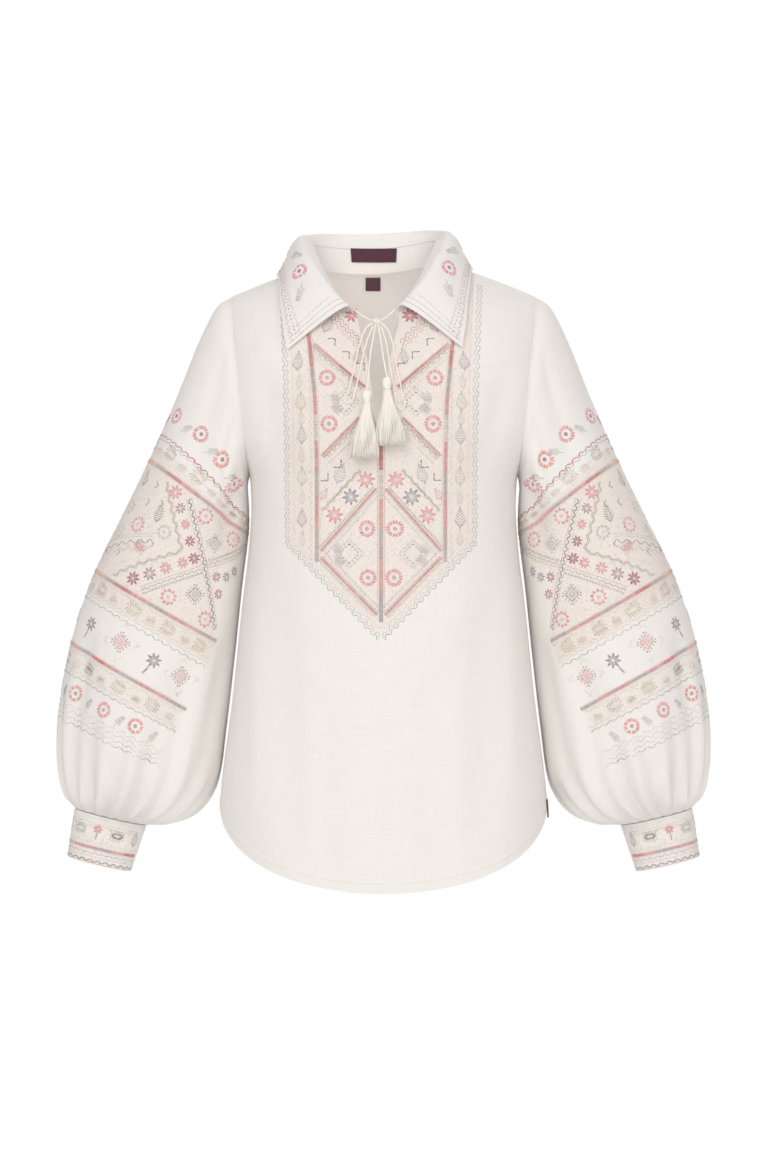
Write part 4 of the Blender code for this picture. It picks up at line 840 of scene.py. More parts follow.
def half_panel(side, low_heights, arch_rows, hand, neck):
    """Half of the front or back as a grid, from the hem up and from the middle out to the side."""
    column = np.linspace(0, 1, HALF_COLUMNS + 1)[None, :]
    share = np.concatenate([HEM_SHARES, BODY_SHARES])[:, None]
    half_width = smooth_rows(TORSO_ROWS, -0.5 + 0 * (share + column))[0]
    x = spread(column, half_width, math.pi / 2, hand, -0.5, neck) + 0 * share
    for _ in range(4):
        z = hem_height(x, half_width) * (1 - share) + ARMPIT_HEIGHT * share
        half_width = smooth_rows(TORSO_ROWS, z)[0] * RING_REACH
        x = spread(column, half_width, math.pi / 2, hand, z, neck)
    skirt = torso_point(x, z - CHEST_HEIGHT, side)
    level = (low_heights - CHEST_HEIGHT)[:, None] + 0 * column
    half_width = smooth_rows(TORSO_ROWS, level + CHEST_HEIGHT)[0]
    edge = side_edge(level, side)
    x = spread(column, edge, np.arcsin(np.clip(edge / half_width, 0, 1)), hand, level + CHEST_HEIGHT, neck)
    low = torso_point(x, level, side)
    start_x = x[-1:]
    rise = (np.arange(1, arch_rows + 1) / arch_rows)[:, None]
    top_level = 1 - (FRONT_SEAM_SHARE if side < 0 else BACK_SEAM_SHARE) - SEAM_GAP / 2 / ARCH_LENGTH
    if neck:
        edge = float(armhole_x(np.full(1, top_level), side)[0])
        corner = NECK_SHIFT + hand * neck_corner_offset()
        slit_x = SLIT_CENTRE + hand * slit_half_width(SLIT_TOP_HEIGHT)
        inner = np.linspace(slit_x, corner, NECK_COLUMNS + 1)
        outer = np.linspace(corner, hand * edge, HALF_COLUMNS - NECK_COLUMNS + 1)
        top_x = np.concatenate([inner, outer[1:]])
        top = np.minimum(1 + neck_share(top_x), top_level)
        top[NECK_COLUMNS:] = top_level
        top[:NECK_COLUMNS] -= SEAM_GAP / 2 / ARCH_LENGTH
        x = start_x + (top_x[None] - start_x) * rise
        level = top[None] * rise
        height = torso_point(x, level, side)[:, :1, 2]
        shift = SLIT_CENTRE + hand * slit_half_width(height) - x[:, :1]
        shift[-1] = 0.0
        x = x + shift * np.clip(1 - np.arange(HALF_COLUMNS + 1) / NECK_COLUMNS, 0, 1)[None]
    else:
        level = top_level * rise + 0 * column
        x = start_x / np.abs(start_x[0, -1]) * armhole_x(level, side)
    return np.concatenate([skirt, low, torso_point(x, level, side)])


def seam_trimmed(points, side):
    """Close the side seam: its edge lies in the upright plane between front and back."""
    trimmed = points.copy()
    below = points[:, -1, 2] < ARMPIT_HEIGHT + 1e-4
    trimmed[below, -1, 1] = side * SEAM_GAP * 0.1
    return trimmed


def hem_relief(points, normal):
    """Raise the turned hem band by half a millimetre, with a slight pucker along it."""
    deep = np.zeros(points.shape[0])
    shares = np.append(HEM_SHARES, BODY_SHARES[0])
    deep[:len(shares)] = 1 - ease((shares * SKIRT_LENGTH - HEM_BAND) / 0.001)
    turn = points[..., 0] * 2 * math.pi
    pucker = 0.00018 * np.sin(turn / 0.0105) * np.sin(turn / 0.037)
    return points + normal * (deep[:, None] * (0.00045 + pucker))[..., None]


def low_heights(rows):
    """Heights of the rows beside the armhole, closer together near the armpit."""
    step = np.linspace(0, 1, rows + 1)
    return ARMPIT_HEIGHT + (CHEST_HEIGHT - ARMPIT_HEIGHT) * (0.35 * step + 0.65 * step ** 2)


def worked_bib(points):
    """1 inside the embroidered bib seen from the front, 0 outside it, with a narrow soft edge."""
    x, y, z = points[..., 0], points[..., 1], points[..., 2]
    scale = -CAMERA_PLACE[1] / (y - CAMERA_PLACE[1])
    away = np.abs((x - CAMERA_PLACE[0]) * scale + CAMERA_PLACE[0] - BIB_MIDDLE)
    height = (z - CAMERA_PLACE[2]) * scale + CAMERA_PLACE[2]
    edge = BIB_HALF_WIDTH - np.clip(BIB_CORNER - height, 0, 1) * BIB_HALF_WIDTH / (BIB_CORNER - BIB_TIP)
    return ease((edge - away) / 0.003 + 0.5) * (y < 0)


def make_front(linen):
    """The front panel: two half grids joined down the middle below the slit's end."""
    heights = low_heights(FRONT_LOW_ROWS)
    slit_row = int(np.argmin(np.abs(heights - SLIT_END_HEIGHT)))
    heights[slit_row] = SLIT_END_HEIGHT
    halves = [seam_trimmed(half_panel(-1, heights, FRONT_ARCH_ROWS, hand, True), -1) for hand in (-1, 1)]
    normals = [surface_normals(half, torso_normals(half)) for half in halves]
    halves = [hem_relief(half, normal) for half, normal in zip(halves, normals)]
    outer = np.concatenate([halves[0][:, ::-1], halves[1]], axis=1)
    normal = np.concatenate([normals[0][:, ::-1], normals[1]], axis=1)
    skipped = np.zeros((outer.shape[0] - 1, outer.shape[1] - 1), dtype=bool)
    skipped[len(HEM_SHARES) + len(BODY_SHARES) + slit_row:, HALF_COLUMNS] = True
    piece = cloth_wall("front_cloth", outer, -CLOTH_WALL * normal, linen, skipped=skipped,
                       worked=worked_bib(outer), middle=HALF_COLUMNS)
    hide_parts("front_panel")
    return piece, outer, normal


def make_back(linen):
    """The back panel, one grid from side to side."""
    heights = low_heights(FRONT_LOW_ROWS)
    halves = [seam_trimmed(half_panel(1, heights, BACK_ARCH_ROWS, hand, False), 1) for hand in (-1, 1)]
    outer = np.concatenate([halves[0][:, ::-1], halves[1][:, 1:]], axis=1)
    normal = surface_normals(outer, torso_normals(outer))
    outer = hem_relief(outer, normal)
    piece = cloth_wall("back_cloth", outer, -CLOTH_WALL * normal, linen, middle=HALF_COLUMNS,
                       worked=np.zeros(outer.shape[:2]))
    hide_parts("back_panel")
    return piece, outer, normal


YOKE_SIDE_STEPS = 28
YOKE_BACK_STEPS = 56
YOKE_ACROSS_STEPS = 22
YOKE_LAP = 0.0010
YOKE_RAISE = 0.00035


def make_yoke(linen):
    """The yoke: straight steps from the neck edge out to the armholes and the back seam, over the arch.

    Its outer edge laps a little over the front and the back and stands proud of them.
    """
    lap = YOKE_LAP / ARCH_LENGTH
    front, back = -FRONT_SEAM_SHARE - lap, BACK_SEAM_SHARE + lap
    side_share = np.linspace(front, back, YOKE_SIDE_STEPS + 1)
    side_x = arch_edge(side_share)
    back_x = np.linspace(-side_x[-1], side_x[-1], YOKE_BACK_STEPS + 1)
    x = np.concatenate([-side_x, back_x[1:-1], side_x[::-1]])
    share = np.concatenate([side_share, np.full(YOKE_BACK_STEPS - 1, back), side_share[::-1]])
    corner_turn = math.acos(front / NECK_FRONT_DEPTH)
    neck_x, neck_place = neck_curve(np.linspace(-corner_turn, corner_turn, len(x)))
    out = np.linspace(0, 1, YOKE_ACROSS_STEPS + 1)[:, None]
    outer = arch_point(neck_x * (1 - out) + x * out, neck_place * (1 - out) + share * out)
    normal = torso_normals(outer)
    outer = outer + normal * (YOKE_RAISE * ease((out - 0.80) / 0.12))[..., None]
    piece = cloth_wall("yoke_cloth", outer, -CLOTH_WALL * normal, linen, worked=np.zeros(outer.shape[:2]),
                       middle=len(x) // 2)
    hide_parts("yoke")
    return piece, outer, normal


# Sleeves and cuffs at a fine spacing

SLEEVE_STEPS = 138
SLEEVE_COLUMNS = 144
CUFF_COLUMNS = 128


def armhole_loop():
    """The left armhole from the armpit up the front, over the yoke and down the back, in one closed list."""
    front_low = low_heights(32) - CHEST_HEIGHT
    front = np.concatenate([front_low, (1 - FRONT_SEAM_SHARE) * np.arange(1, 22) / 21])
    yoke = np.linspace(-FRONT_SEAM_SHARE, BACK_SEAM_SHARE, 39)[1:-1]
    back_low = low_heights(42) - CHEST_HEIGHT
    back = np.concatenate([back_low, (1 - BACK_SEAM_SHARE) * np.arange(1, 12) / 11])[::-1]
    front_points = torso_point(-side_edge(front, -1), front, -1)
    yoke_points = arch_point(-arch_edge(yoke), yoke)
    back_points = torso_point(-side_edge(back, 1), back, 1)
    front_points[0, 1] = 0.0
    return np.concatenate([front_points, yoke_points, back_points[:-1]])


def sleeve_section(share, turn):
    """A point of the plain sleeve. share runs down the sleeve, turn goes round it.

    The oval's long way joins its outer and inner ends, and its short way is front to back.
    """
    outer_x, outer_z, inner_x, inner_z, front, back, middle = smooth_rows(SLEEVE_ROWS, share)
    angle = turn * 2 * math.pi
    along = np.cos(angle)
    depth = np.where(np.sin(angle) > 0, -front, back) * np.abs(np.sin(angle))
    x = (outer_x + inner_x) / 2 + (outer_x - inner_x) / 2 * along
    z = (outer_z + inner_z) / 2 + (outer_z - inner_z) / 2 * along
    return np.stack([x, middle + depth, z], axis=-1)


def loop_turns(loop):
    """The turn round the first section at which each armhole point lies: 0 outer, 0.25 front, 0.5 inner."""
    middle = (loop.max(axis=0) + loop.min(axis=0)) / 2
    half = (loop.max(axis=0) - loop.min(axis=0)) / 2
    angle = np.arctan2(-(loop[:, 1] - middle[1]) / half[1], (loop[:, 2] - middle[2]) / half[2])
    return np.mod(angle / (2 * math.pi), 1.0)


def sleeve_relief(share, turn):
    """How far the cloth goes in at a place: long troughs, and uneven gathers that run into the cuff."""
    push = np.zeros(np.broadcast(share, turn).shape)
    for share_a, turn_a, share_b, turn_b, half_turn, depth in SLEEVE_FOLDS:
        along = (share - share_a) / (share_b - share_a)
        middle = turn_a + (turn_b - turn_a) * along
        away = (turn - middle + 0.5) % 1.0 - 0.5
        fade = ease(along / 0.3) * ease((1.05 - along) / 0.25)
        push = push + depth * fade * np.exp(-(away / half_turn) ** 2)
    round_turn = turn * 2 * math.pi
    start = GATHER_START + 0.05 * np.sin(5 * round_turn + 1.0) + 0.03 * np.sin(11 * round_turn)
    grow = ease((share - start) / (0.93 - start))
    settle = 1 - 0.62 * ease((share - 0.95) / 0.05)
    uneven = 1 + 0.30 * np.sin(3 * round_turn + 2.5) * (1 - ease((share - 0.9) / 0.1))
    warp = 0.35 * np.sin(2 * round_turn + 1.3) + 0.25 * np.sin(5 * round_turn + 3.8)
    wave = np.cos(round_turn * GATHERS + warp)
    fine = 0.0007 * ease((share - 0.86) / 0.08) * np.cos(round_turn * 41 + 2.0 * np.sin(3 * round_turn))
    return push + GATHER_DEPTH * grow * settle * wave * uneven + fine


def sleeve_grid():
    """The left sleeve from the armhole's own points to the gathered edge above the cuff, with its normals."""
    loop = armhole_loop()
    count = len(loop)
    even_turn = np.mod(0.5 - np.arange(count) / count, 1.0)
    share = np.linspace(0, 1, SLEEVE_STEPS + 1)
    turning = ((loop_turns(loop) - even_turn + 0.5) % 1.0 - 0.5)[None, :]
    turn = even_turn[None, :] + turning * (1 - ease(share / 0.45))[:, None]
    share = np.repeat(share[:, None], count, axis=1)
    points = sleeve_section(share, turn)
    points = points + (loop - points[0])[None] * (1 - ease(share / 0.30))[..., None]
    middle = points.mean(axis=1, keepdims=True)
    normal = surface_normals(points, points - middle, closed=True)
    axis = np.array([CUFF_BOTTOM[0] - CUFF_TOP[0], 0.0, CUFF_BOTTOM[1] - CUFF_TOP[1]])
    axis /= np.linalg.norm(axis)
    settle = ease((share - 0.85) / 0.15)[..., None]
    push = unit(normal - settle * (normal @ axis)[..., None] * axis)
    points = points - push * (sleeve_relief(share, turn) * ease(share / 0.08))[..., None]
    folded = surface_normals(points, points - middle, closed=True)
    folded[0] = unit(folded[0] + torso_normals(points[0]))
    return points, folded


def ring_lengths(points, start):
    """Lengths in metres round each row of a closed grid, from column start, positive towards the front."""
    order = (start - np.arange(points.shape[1] + 1)) % points.shape[1]
    ring = points[:, order]
    steps = np.linalg.norm(np.diff(ring, axis=1), axis=-1)
    return ring, np.concatenate([np.zeros((len(points), 1)), np.cumsum(steps, axis=1)], axis=1), order


def sleeve_panel(points, start):
    """1 where the sleeve is worked: its outer half between the top rosettes and the band above the cuff."""
    ring, lengths, order = ring_lengths(points, start)
    total = lengths[:, -1:]
    around = np.where(lengths > total / 2, lengths - total, lengths)[:, :-1]
    away = np.empty_like(around)
    away[:, order[:-1]] = np.abs(around)
    share = np.linspace(0, 1, len(points))[:, None]
    inside = ease((worked_reach(share) - away) / 0.004 + 0.5)
    block = ease((share - 0.300) / 0.008 + 0.5) * ease((0.602 - share) / 0.008 + 0.5)
    band = ease((share - 0.694) / 0.008 + 0.5) * ease((0.728 - share) / 0.008 + 0.5)
    return inside * (block + 0.6 * band)


def make_sleeve(side, grid, linen):
    """One sleeve: the left grid, or its mirror."""
    points, normal = grid
    piece = cloth_wall(f"sleeve_{side}_cloth", points, -CLOTH_WALL * normal, linen, closed=True,
                       worked=sleeve_panel(points, SLEEVE_COLUMNS // 2), mirror=side == "right",
                       middle=SLEEVE_COLUMNS // 2)
    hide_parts("sleeve_" + side)
    return piece


def cuff_ring(share, turn, grow):
    """A point of the left cuff's outer face: an oval cone between its top and bottom ends."""
    share, turn = np.broadcast_arrays(share, turn)
    top, bottom = np.array(CUFF_TOP), np.array(CUFF_BOTTOM)
    axis = (bottom - top) / np.linalg.norm(bottom - top)
    across = np.array([axis[1], -axis[0]])
    middle = top + (bottom - top) * share[..., None]
    half_wide = CUFF_TOP_HALF[0] * (1 - share) + CUFF_BOTTOM_HALF[0] * share + grow
    half_deep = CUFF_TOP_HALF[1] * (1 - share) + CUFF_BOTTOM_HALF[1] * share + grow
    flat = middle + across * (half_wide * np.cos(turn * 2 * math.pi))[..., None]
    y = -0.003 - half_deep * np.sin(turn * 2 * math.pi)
    return np.stack([flat[..., 0], y, flat[..., 1]], axis=-1)


def cuff_grid():
    """The left cuff's outer face, drawn in a little along both edges where the cloth turns over."""
    turn = np.arange(CUFF_COLUMNS)[None, :] / CUFF_COLUMNS
    between = np.linspace(0.1, 0.9, 12)
    share = np.concatenate([[0, 0.008, 0.025, 0.06], between, [0.94, 0.975, 0.992, 1]])[:, None]
    edge = np.minimum(share, 1 - share) / 0.03
    round_off = 0.0009 * (1 - np.sqrt(1 - (1 - np.clip(edge, 0, 1)) ** 2))
    pucker = 0.00025 * np.sin(turn * 2 * math.pi * 26 + 3 * np.sin(turn * 6.28)) * ease((0.16 - share) / 0.1)
    points = cuff_ring(share, turn, pucker - round_off)
    middle = points.mean(axis=1, keepdims=True)
    inner = cuff_ring(share, turn, -CUFF_WALL + round_off)
    return points, surface_normals(points, points - middle, closed=True), inner


def make_cuff(side, grid, linen):
    """One cuff: a closed double band."""
    points, normal, inner = grid
    down = np.linalg.norm(points - points[:1], axis=-1) / np.linalg.norm(points[-1:] - points[:1], axis=-1)
    worked = ease((down - 0.22) / 0.03)
    piece = cloth_wall(f"cuff_{side}_cloth", points, inner - points, linen, closed=True,
                       worked=worked * 0.4, mirror=side == "right")
    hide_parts("cuff_" + side)
    return piece


# Collar

COLLAR_STATIONS = 160
FALL_STEPS = 44


def collar_station(round_share):
    """Neck seam point, outward direction and the collar's sizes at signed places round the neck."""
    sizes = smooth_rows(COLLAR_ROWS, np.abs(round_share))
    end_turn = math.pi - math.asin(COLLAR_FRONT_END / NECK_HALF_WIDTH)
    turn = round_share * end_turn
    x, share = neck_curve(turn)
    seam = arch_point(x, share)
    outward = np.stack([np.sin(turn), np.cos(turn), 0 * turn], axis=-1)
    return seam, outward, sizes


def make_stand(linen):
    """The stand: a band that rises just inside the neck edge and leans out a little."""
    place = np.linspace(-1, 1, COLLAR_STATIONS + 1)
    seam, outward, sizes = collar_station(place)
    height, lean = sizes[0], sizes[1]
    share = np.linspace(0, 1, 13)[:, None]
    out = lean * share ** 2 - STAND_INSET
    up = -0.0012 + (height + 0.0012) * share
    outer = seam + outward * out[..., None] + np.array([0, 0, 1.0]) * up[..., None]
    inward = -CAD_WALL * np.broadcast_to(outward, outer.shape)
    piece = cloth_wall("stand_cloth", outer, inward, linen, worked=np.zeros(outer.shape[:2]),
                       middle=COLLAR_STATIONS // 2)
    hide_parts("collar_stand")
    return piece


def clear_of_torso(points, lift):
    """Move points that lie too near the torso straight out from the chest line until lift clears it."""
    x, y, z = points[..., 0], points[..., 1], points[..., 2]
    half_width, front, back = smooth_rows(TORSO_ROWS, np.full(x.shape, CHEST_HEIGHT))
    depth = ring_depth(x, half_width, np.where(y < 0, front, back))
    power = np.where(y < 0, FRONT_ARCH_POWER, BACK_ARCH_POWER)
    height = shoulder_line(x) - CHEST_HEIGHT
    rise = np.maximum(z - CHEST_HEIGHT, 1e-6)
    reach = ((np.abs(y) / depth) ** power + (rise / height) ** power) ** (1 / power)
    radius = np.hypot(y, rise)
    wanted = 1 + lift * reach / radius
    scale = np.maximum(wanted / reach, 1.0)
    moved = points.copy()
    moved[..., 1] = y * scale
    moved[..., 2] = CHEST_HEIGHT + rise * scale
    return moved


def fall_points(place, share):
    """The folded collar: up from the stand, over the fold, and down to lie on the shoulders.

    share runs down each station's cubic curve from the fold to the leaf's edge, whose first pull is
    outwards. Two rows before it run up from the stand's top.
    """
    seam, outward, sizes = collar_station(place)
    stand_height, stand_lean, fold_height, fold_lean, edge_x, edge_share = sizes
    up = np.array([0, 0, 1.0])
    foot_out = (stand_lean - STAND_INSET - CAD_WALL)[:, None]
    foot = seam + outward * foot_out + up * (stand_height + SEAM_GAP)[:, None]
    fold = seam + outward * fold_lean[:, None] + up * fold_height[:, None]
    edge_place_x = NECK_SHIFT + np.sign(place) * edge_x
    edge = clear_of_torso(arch_point(edge_place_x, edge_share), COLLAR_LIFT)
    drop = np.linalg.norm(edge - fold, axis=-1, keepdims=True)
    pull = 0.26 - 0.14 * np.abs(place)[:, None] ** 2
    first = fold + outward * drop * pull + up * drop * 0.10
    second = edge + (fold - edge) * 0.38 + up * drop * 0.05
    along = share[:, None, None]
    rest = 1 - along
    points = rest ** 3 * fold + 3 * rest ** 2 * along * first
    points = points + 3 * rest * along ** 2 * second + along ** 3 * edge
    lift = COLLAR_LIFT * ease(share / 0.3)[:, None]
    cleared = np.where((share > 0)[:, None, None], clear_of_torso(points, lift), points)
    return np.concatenate([foot[None], ((foot * 2 + fold) / 3)[None], ((foot + fold * 2) / 3)[None], cleared])


def fall_grid():
    """The collar's fall from leaf point to leaf point, with its normals and a faint sag between them."""
    place = np.linspace(-1, 1, COLLAR_STATIONS + 1)
    share = np.linspace(0, 1, FALL_STEPS + 1)
    points = fall_points(place, share)
    outward = np.zeros_like(points)
    outward[-1, COLLAR_STATIONS // 2, 1] = 1.0
    normal = surface_normals(points, outward)
    ripple = 0.0007 * np.sin(place * 9.0 + 1.0) * np.sin(place * 23.0)
    points[3:] += normal[3:] * (ripple[None, :] * ease(share / 0.5)[:, None])[..., None]
    normal[0] = -collar_station(place)[1]
    return points, normal


def make_fall(grid, linen):
    """The collar's fall, one folded wall, with its turned edge a little thicker."""
    points, normal = grid
    share = np.linspace(0, 1, FALL_STEPS + 1)
    edge = np.concatenate([np.zeros(3), ease((share - 0.93) / 0.02)])
    raised = points + normal * (0.0003 * edge)[:, None, None]
    piece = cloth_wall("fall_cloth", raised, -COLLAR_WALL * normal, linen, worked=np.zeros(points.shape[:2]),
                       middle=COLLAR_STATIONS // 2)
    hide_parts("collar_fall")
    return piece


# Cords, knot and tassels

CORD_TWIST = 620.0
TASSEL_THREADS = 240
TASSEL_HEAD_ROWS = table(
    ("height", "width"),
    (-0.05, 0.80),
    (0.0, 0.98),
    (0.2, 1.20),
    (0.55, 1.36),
    (0.85, 1.12),
    (1.0, 0.50),
)


def arch_level(x, z, side):
    """The level above the chest at which the torso reaches height z, found by halving."""
    low, high = np.zeros(x.shape), np.ones(x.shape)
    for _ in range(30):
        middle = (low + high) / 2
        too_high = torso_point(x, middle, side)[..., 2] > z
        high = np.where(too_high, middle, high)
        low = np.where(too_high, low, middle)
    return low


def cloth_front(x, z):
    """The torso's front at (x, z) seen from the front."""
    x, z = np.broadcast_arrays(np.asarray(x, float), np.asarray(z, float))
    level = np.where(z < CHEST_HEIGHT, z - CHEST_HEIGHT, arch_level(x, z, -1))
    return torso_point(x, level, -1)


def smooth_route(route, spacing):
    """Points at an even spacing along a smooth curve through a cord's own points, on the cloth."""
    knots = np.array(route, dtype=float)
    flat_steps = np.linalg.norm(np.diff(knots[:, :2], axis=0), axis=1)
    key = np.concatenate([[0], np.cumsum(flat_steps)])
    count = max(int(round(key[-1] / spacing)), 3) + 1
    x, z, lift = smooth_rows(np.column_stack([key, knots]), np.linspace(0, key[-1], count))
    points = cloth_front(x, z)
    points[:, 1] -= lift
    return points


def make_cord(name, node, route, cotton, tassel=None):
    """A twisted two-ply cord along its route, and on through its tassel's middle where it has one.

    Gives the piece, its centreline and its length.
    """
    path = smooth_route(route, 0.0004)
    if tassel:
        inside = tassel_point(tassel, 0.0, 0.0, np.linspace(0, 0.34, 50))
        share = np.linspace(0, 1, 34)[1:-1, None]
        path = np.concatenate([path, path[-1] * (1 - share) + inside[0] * share, inside])
    radii = np.full(len(path), CORD_RADIUS)
    piece = tubes(name, path[None], radii[None], 12, cotton, twist=CORD_TWIST, lobes=2, lobe_depth=0.42)
    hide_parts(node)
    length = float(np.linalg.norm(np.diff(path, axis=0), axis=1).sum())
    return piece, path, length


def make_knot(cotton):
    """The bow's knot: a cord wound three times over the crossing, round a filled core."""
    middle = cloth_front(*KNOT_PLACE) + np.array([0.0, -0.0052, 0.0])
    share = np.linspace(0, 1, 241)
    turn = share * 3.0 * 2 * math.pi + 0.8
    reach = np.array(KNOT_HALF) - CORD_RADIUS
    belly = np.sqrt(1 - (0.75 * (2 * share - 1)) ** 2)
    coil = np.stack([reach[0] * 0.86 * (2 * share - 1), -reach[1] * belly * np.cos(turn),
                     reach[2] * belly * np.sin(turn)], axis=-1)
    core = np.stack([reach[0] * 1.05 * np.sin((share - 0.5) * math.pi), 0 * share, 0 * share], axis=-1)
    core_radius = 0.00005 + reach[1] * np.cos((share - 0.5) * math.pi)
    radii = np.stack([np.full(len(share), CORD_RADIUS), core_radius])
    piece = tubes("knot_wound", middle + np.stack([coil, core]), radii, 14, cotton, twist=CORD_TWIST,
                  lobes=2, lobe_depth=0.3)
    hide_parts("knot")
    return piece


def tassel_point(side, across, deep, down):
    """A place in a tassel's skirt: across and deep from -1 to 1, down from 0 at the head to 1 at the end.

    The skirt widens from the head's width to its own, leans a little aside and stays off the cloth.
    """
    x, z = TASSEL_TOPS[side]
    open_up = ease(down / 0.9) * 0.75 + down * 0.25
    half_x = TASSEL_HEAD_HALF[0] * 0.8 + (TASSEL_SKIRT_HALF[0] - TASSEL_HEAD_HALF[0] * 0.8) * open_up
    half_y = TASSEL_HEAD_HALF[1] * 0.7 + (TASSEL_SKIRT_HALF[1] - TASSEL_HEAD_HALF[1] * 0.7) * open_up
    low = z - TASSEL_HEAD_LENGTH - (TASSEL_LENGTH - TASSEL_HEAD_LENGTH) * down
    cloth = cloth_front(x, low)[..., 1]
    y = cloth - 0.0030 - half_y * (1.0 - deep)
    return np.stack([x + TASSEL_LEAN[side] * down + half_x * across, y, low], axis=-1)


def make_tassel(side, cotton):
    """A tassel: many cotton threads hung round a sunflower spread, their head bound with a coil.

    Gives the skirt, which stands for the source's tassel, and the head and binding on it.
    """
    order = np.arange(TASSEL_THREADS)
    radius = np.sqrt((order + 0.5) / TASSEL_THREADS)
    angle = order * 2.39996
    across, deep = radius * np.cos(angle), radius * np.sin(angle)
    down = np.linspace(0, 1, 13)[None, :] * (1.0 - 0.06 * (0.5 + 0.5 * np.sin(order * 1.7)))[:, None]
    drift = 0.05 * np.sin(down * 5 + order[:, None] * 2.1) * down
    paths = tassel_point(side, across[:, None] + drift, np.clip(deep[:, None] + drift, -1, 1), down)
    radii = np.full(down.shape, 0.00058)
    radii[:, -1] = 0.00026
    skirt = tubes(f"tassel_{side}_threads", paths, radii, 4, cotton)
    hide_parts("tassel_" + side)
    root = tassel_point(side, 0.0, 0.0, 0.0)
    height = np.concatenate([[-0.05, 0.0, 0.10], np.linspace(0.18, 0.96, 22), [1.0]])
    sizes = smooth_rows(TASSEL_HEAD_ROWS, height)[0]
    waist = 1 - 0.20 * np.exp(-((height - 0.16) / 0.10) ** 2)
    path = root + np.stack([0 * height, 0 * height, TASSEL_HEAD_LENGTH * height], axis=-1)
    squash = TASSEL_HEAD_HALF[1] / TASSEL_HEAD_HALF[0]
    width = TASSEL_HEAD_HALF[0] * 0.78
    head = tubes(f"tassel_{side}_head", path[None], (width * sizes * waist)[None], 84, cotton, twist=14.0,
                 lobes=28, lobe_depth=0.13, flatten=squash)
    share = np.linspace(0, 1, 260)
    turn = share * 5 * 2 * math.pi
    coil = root + np.stack([width * np.cos(turn), width * squash * np.sin(turn),
                            TASSEL_HEAD_LENGTH * (0.07 + 0.19 * share)], axis=-1)
    binding = tubes(f"tassel_{side}_binding", coil[None], np.full((1, 260), 0.00042), 8, cotton)
    return skirt, head, binding


# Labels

LABEL_WALL = 0.0008


def bent_label(name, xs, zs, surface, lift, material):
    """A label bent to the cloth it lies on: a fine grid on a surface, moved off it by lift."""
    grid_x, grid_z = np.meshgrid(xs, zs)
    points, normal = surface(grid_x, grid_z)
    outer = points + normal * (lift + LABEL_WALL)
    piece = cloth_wall(name + "_cloth", outer, -normal * LABEL_WALL, material, middle=len(xs) // 2)
    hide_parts(name)
    return piece


def stand_inside(x, z):
    """The inner face of the stand at the middle of the back, with the direction to the neck's middle."""
    place = np.arcsin(np.clip((x - NECK_SHIFT) / NECK_HALF_WIDTH, -1, 1)) / math.pi
    end_turn = 1 - math.asin(COLLAR_FRONT_END / NECK_HALF_WIDTH) / math.pi
    seam, outward, sizes = collar_station(place / end_turn)
    height, lean = sizes[0], sizes[1]
    share = (z - seam[..., 2]) / height
    points = seam + outward * (lean * share ** 2 - STAND_INSET - CAD_WALL)[..., None]
    points[..., 2] = z
    return points, -outward


def back_inside(x, z):
    """The inner face of the yoke at the back below the neck seam, facing the front."""
    outer = torso_point(x, arch_level(x, z, 1), 1)
    normal = torso_normals(outer)
    return outer - normal * CLOTH_WALL, -normal


def side_outside(turn, z):
    """The torso's outer face near the right side seam; turn is the share round from the front's middle."""
    half_width = smooth_rows(TORSO_ROWS, z)[0]
    points = torso_point(half_width * np.sin(turn * math.pi / 2), z - CHEST_HEIGHT, -1)
    return points, torso_normals(points)


def make_labels(satin):
    """The three bare woven labels."""
    fine = np.linspace(-1, 1, 61)
    xs = NECK_SHIFT - 0.001 + 0.0265 * fine
    neck = bent_label("label_neck", xs, np.linspace(0.0035, 0.0195, 19), stand_inside, 0.0005, satin)
    xs = NECK_SHIFT - 0.002 + 0.0085 * np.linspace(-1, 1, 21)
    size = bent_label("label_size", xs, np.linspace(-0.0265, -0.0125, 17), back_inside, 0.0005, satin)
    turns = np.linspace(0.905, 0.985, 25)
    side = bent_label("label_side", turns, np.linspace(-0.621, -0.601, 21), side_outside, 0.0006, satin)
    return neck, size, side


# Reading a worked surface by its own two lengths

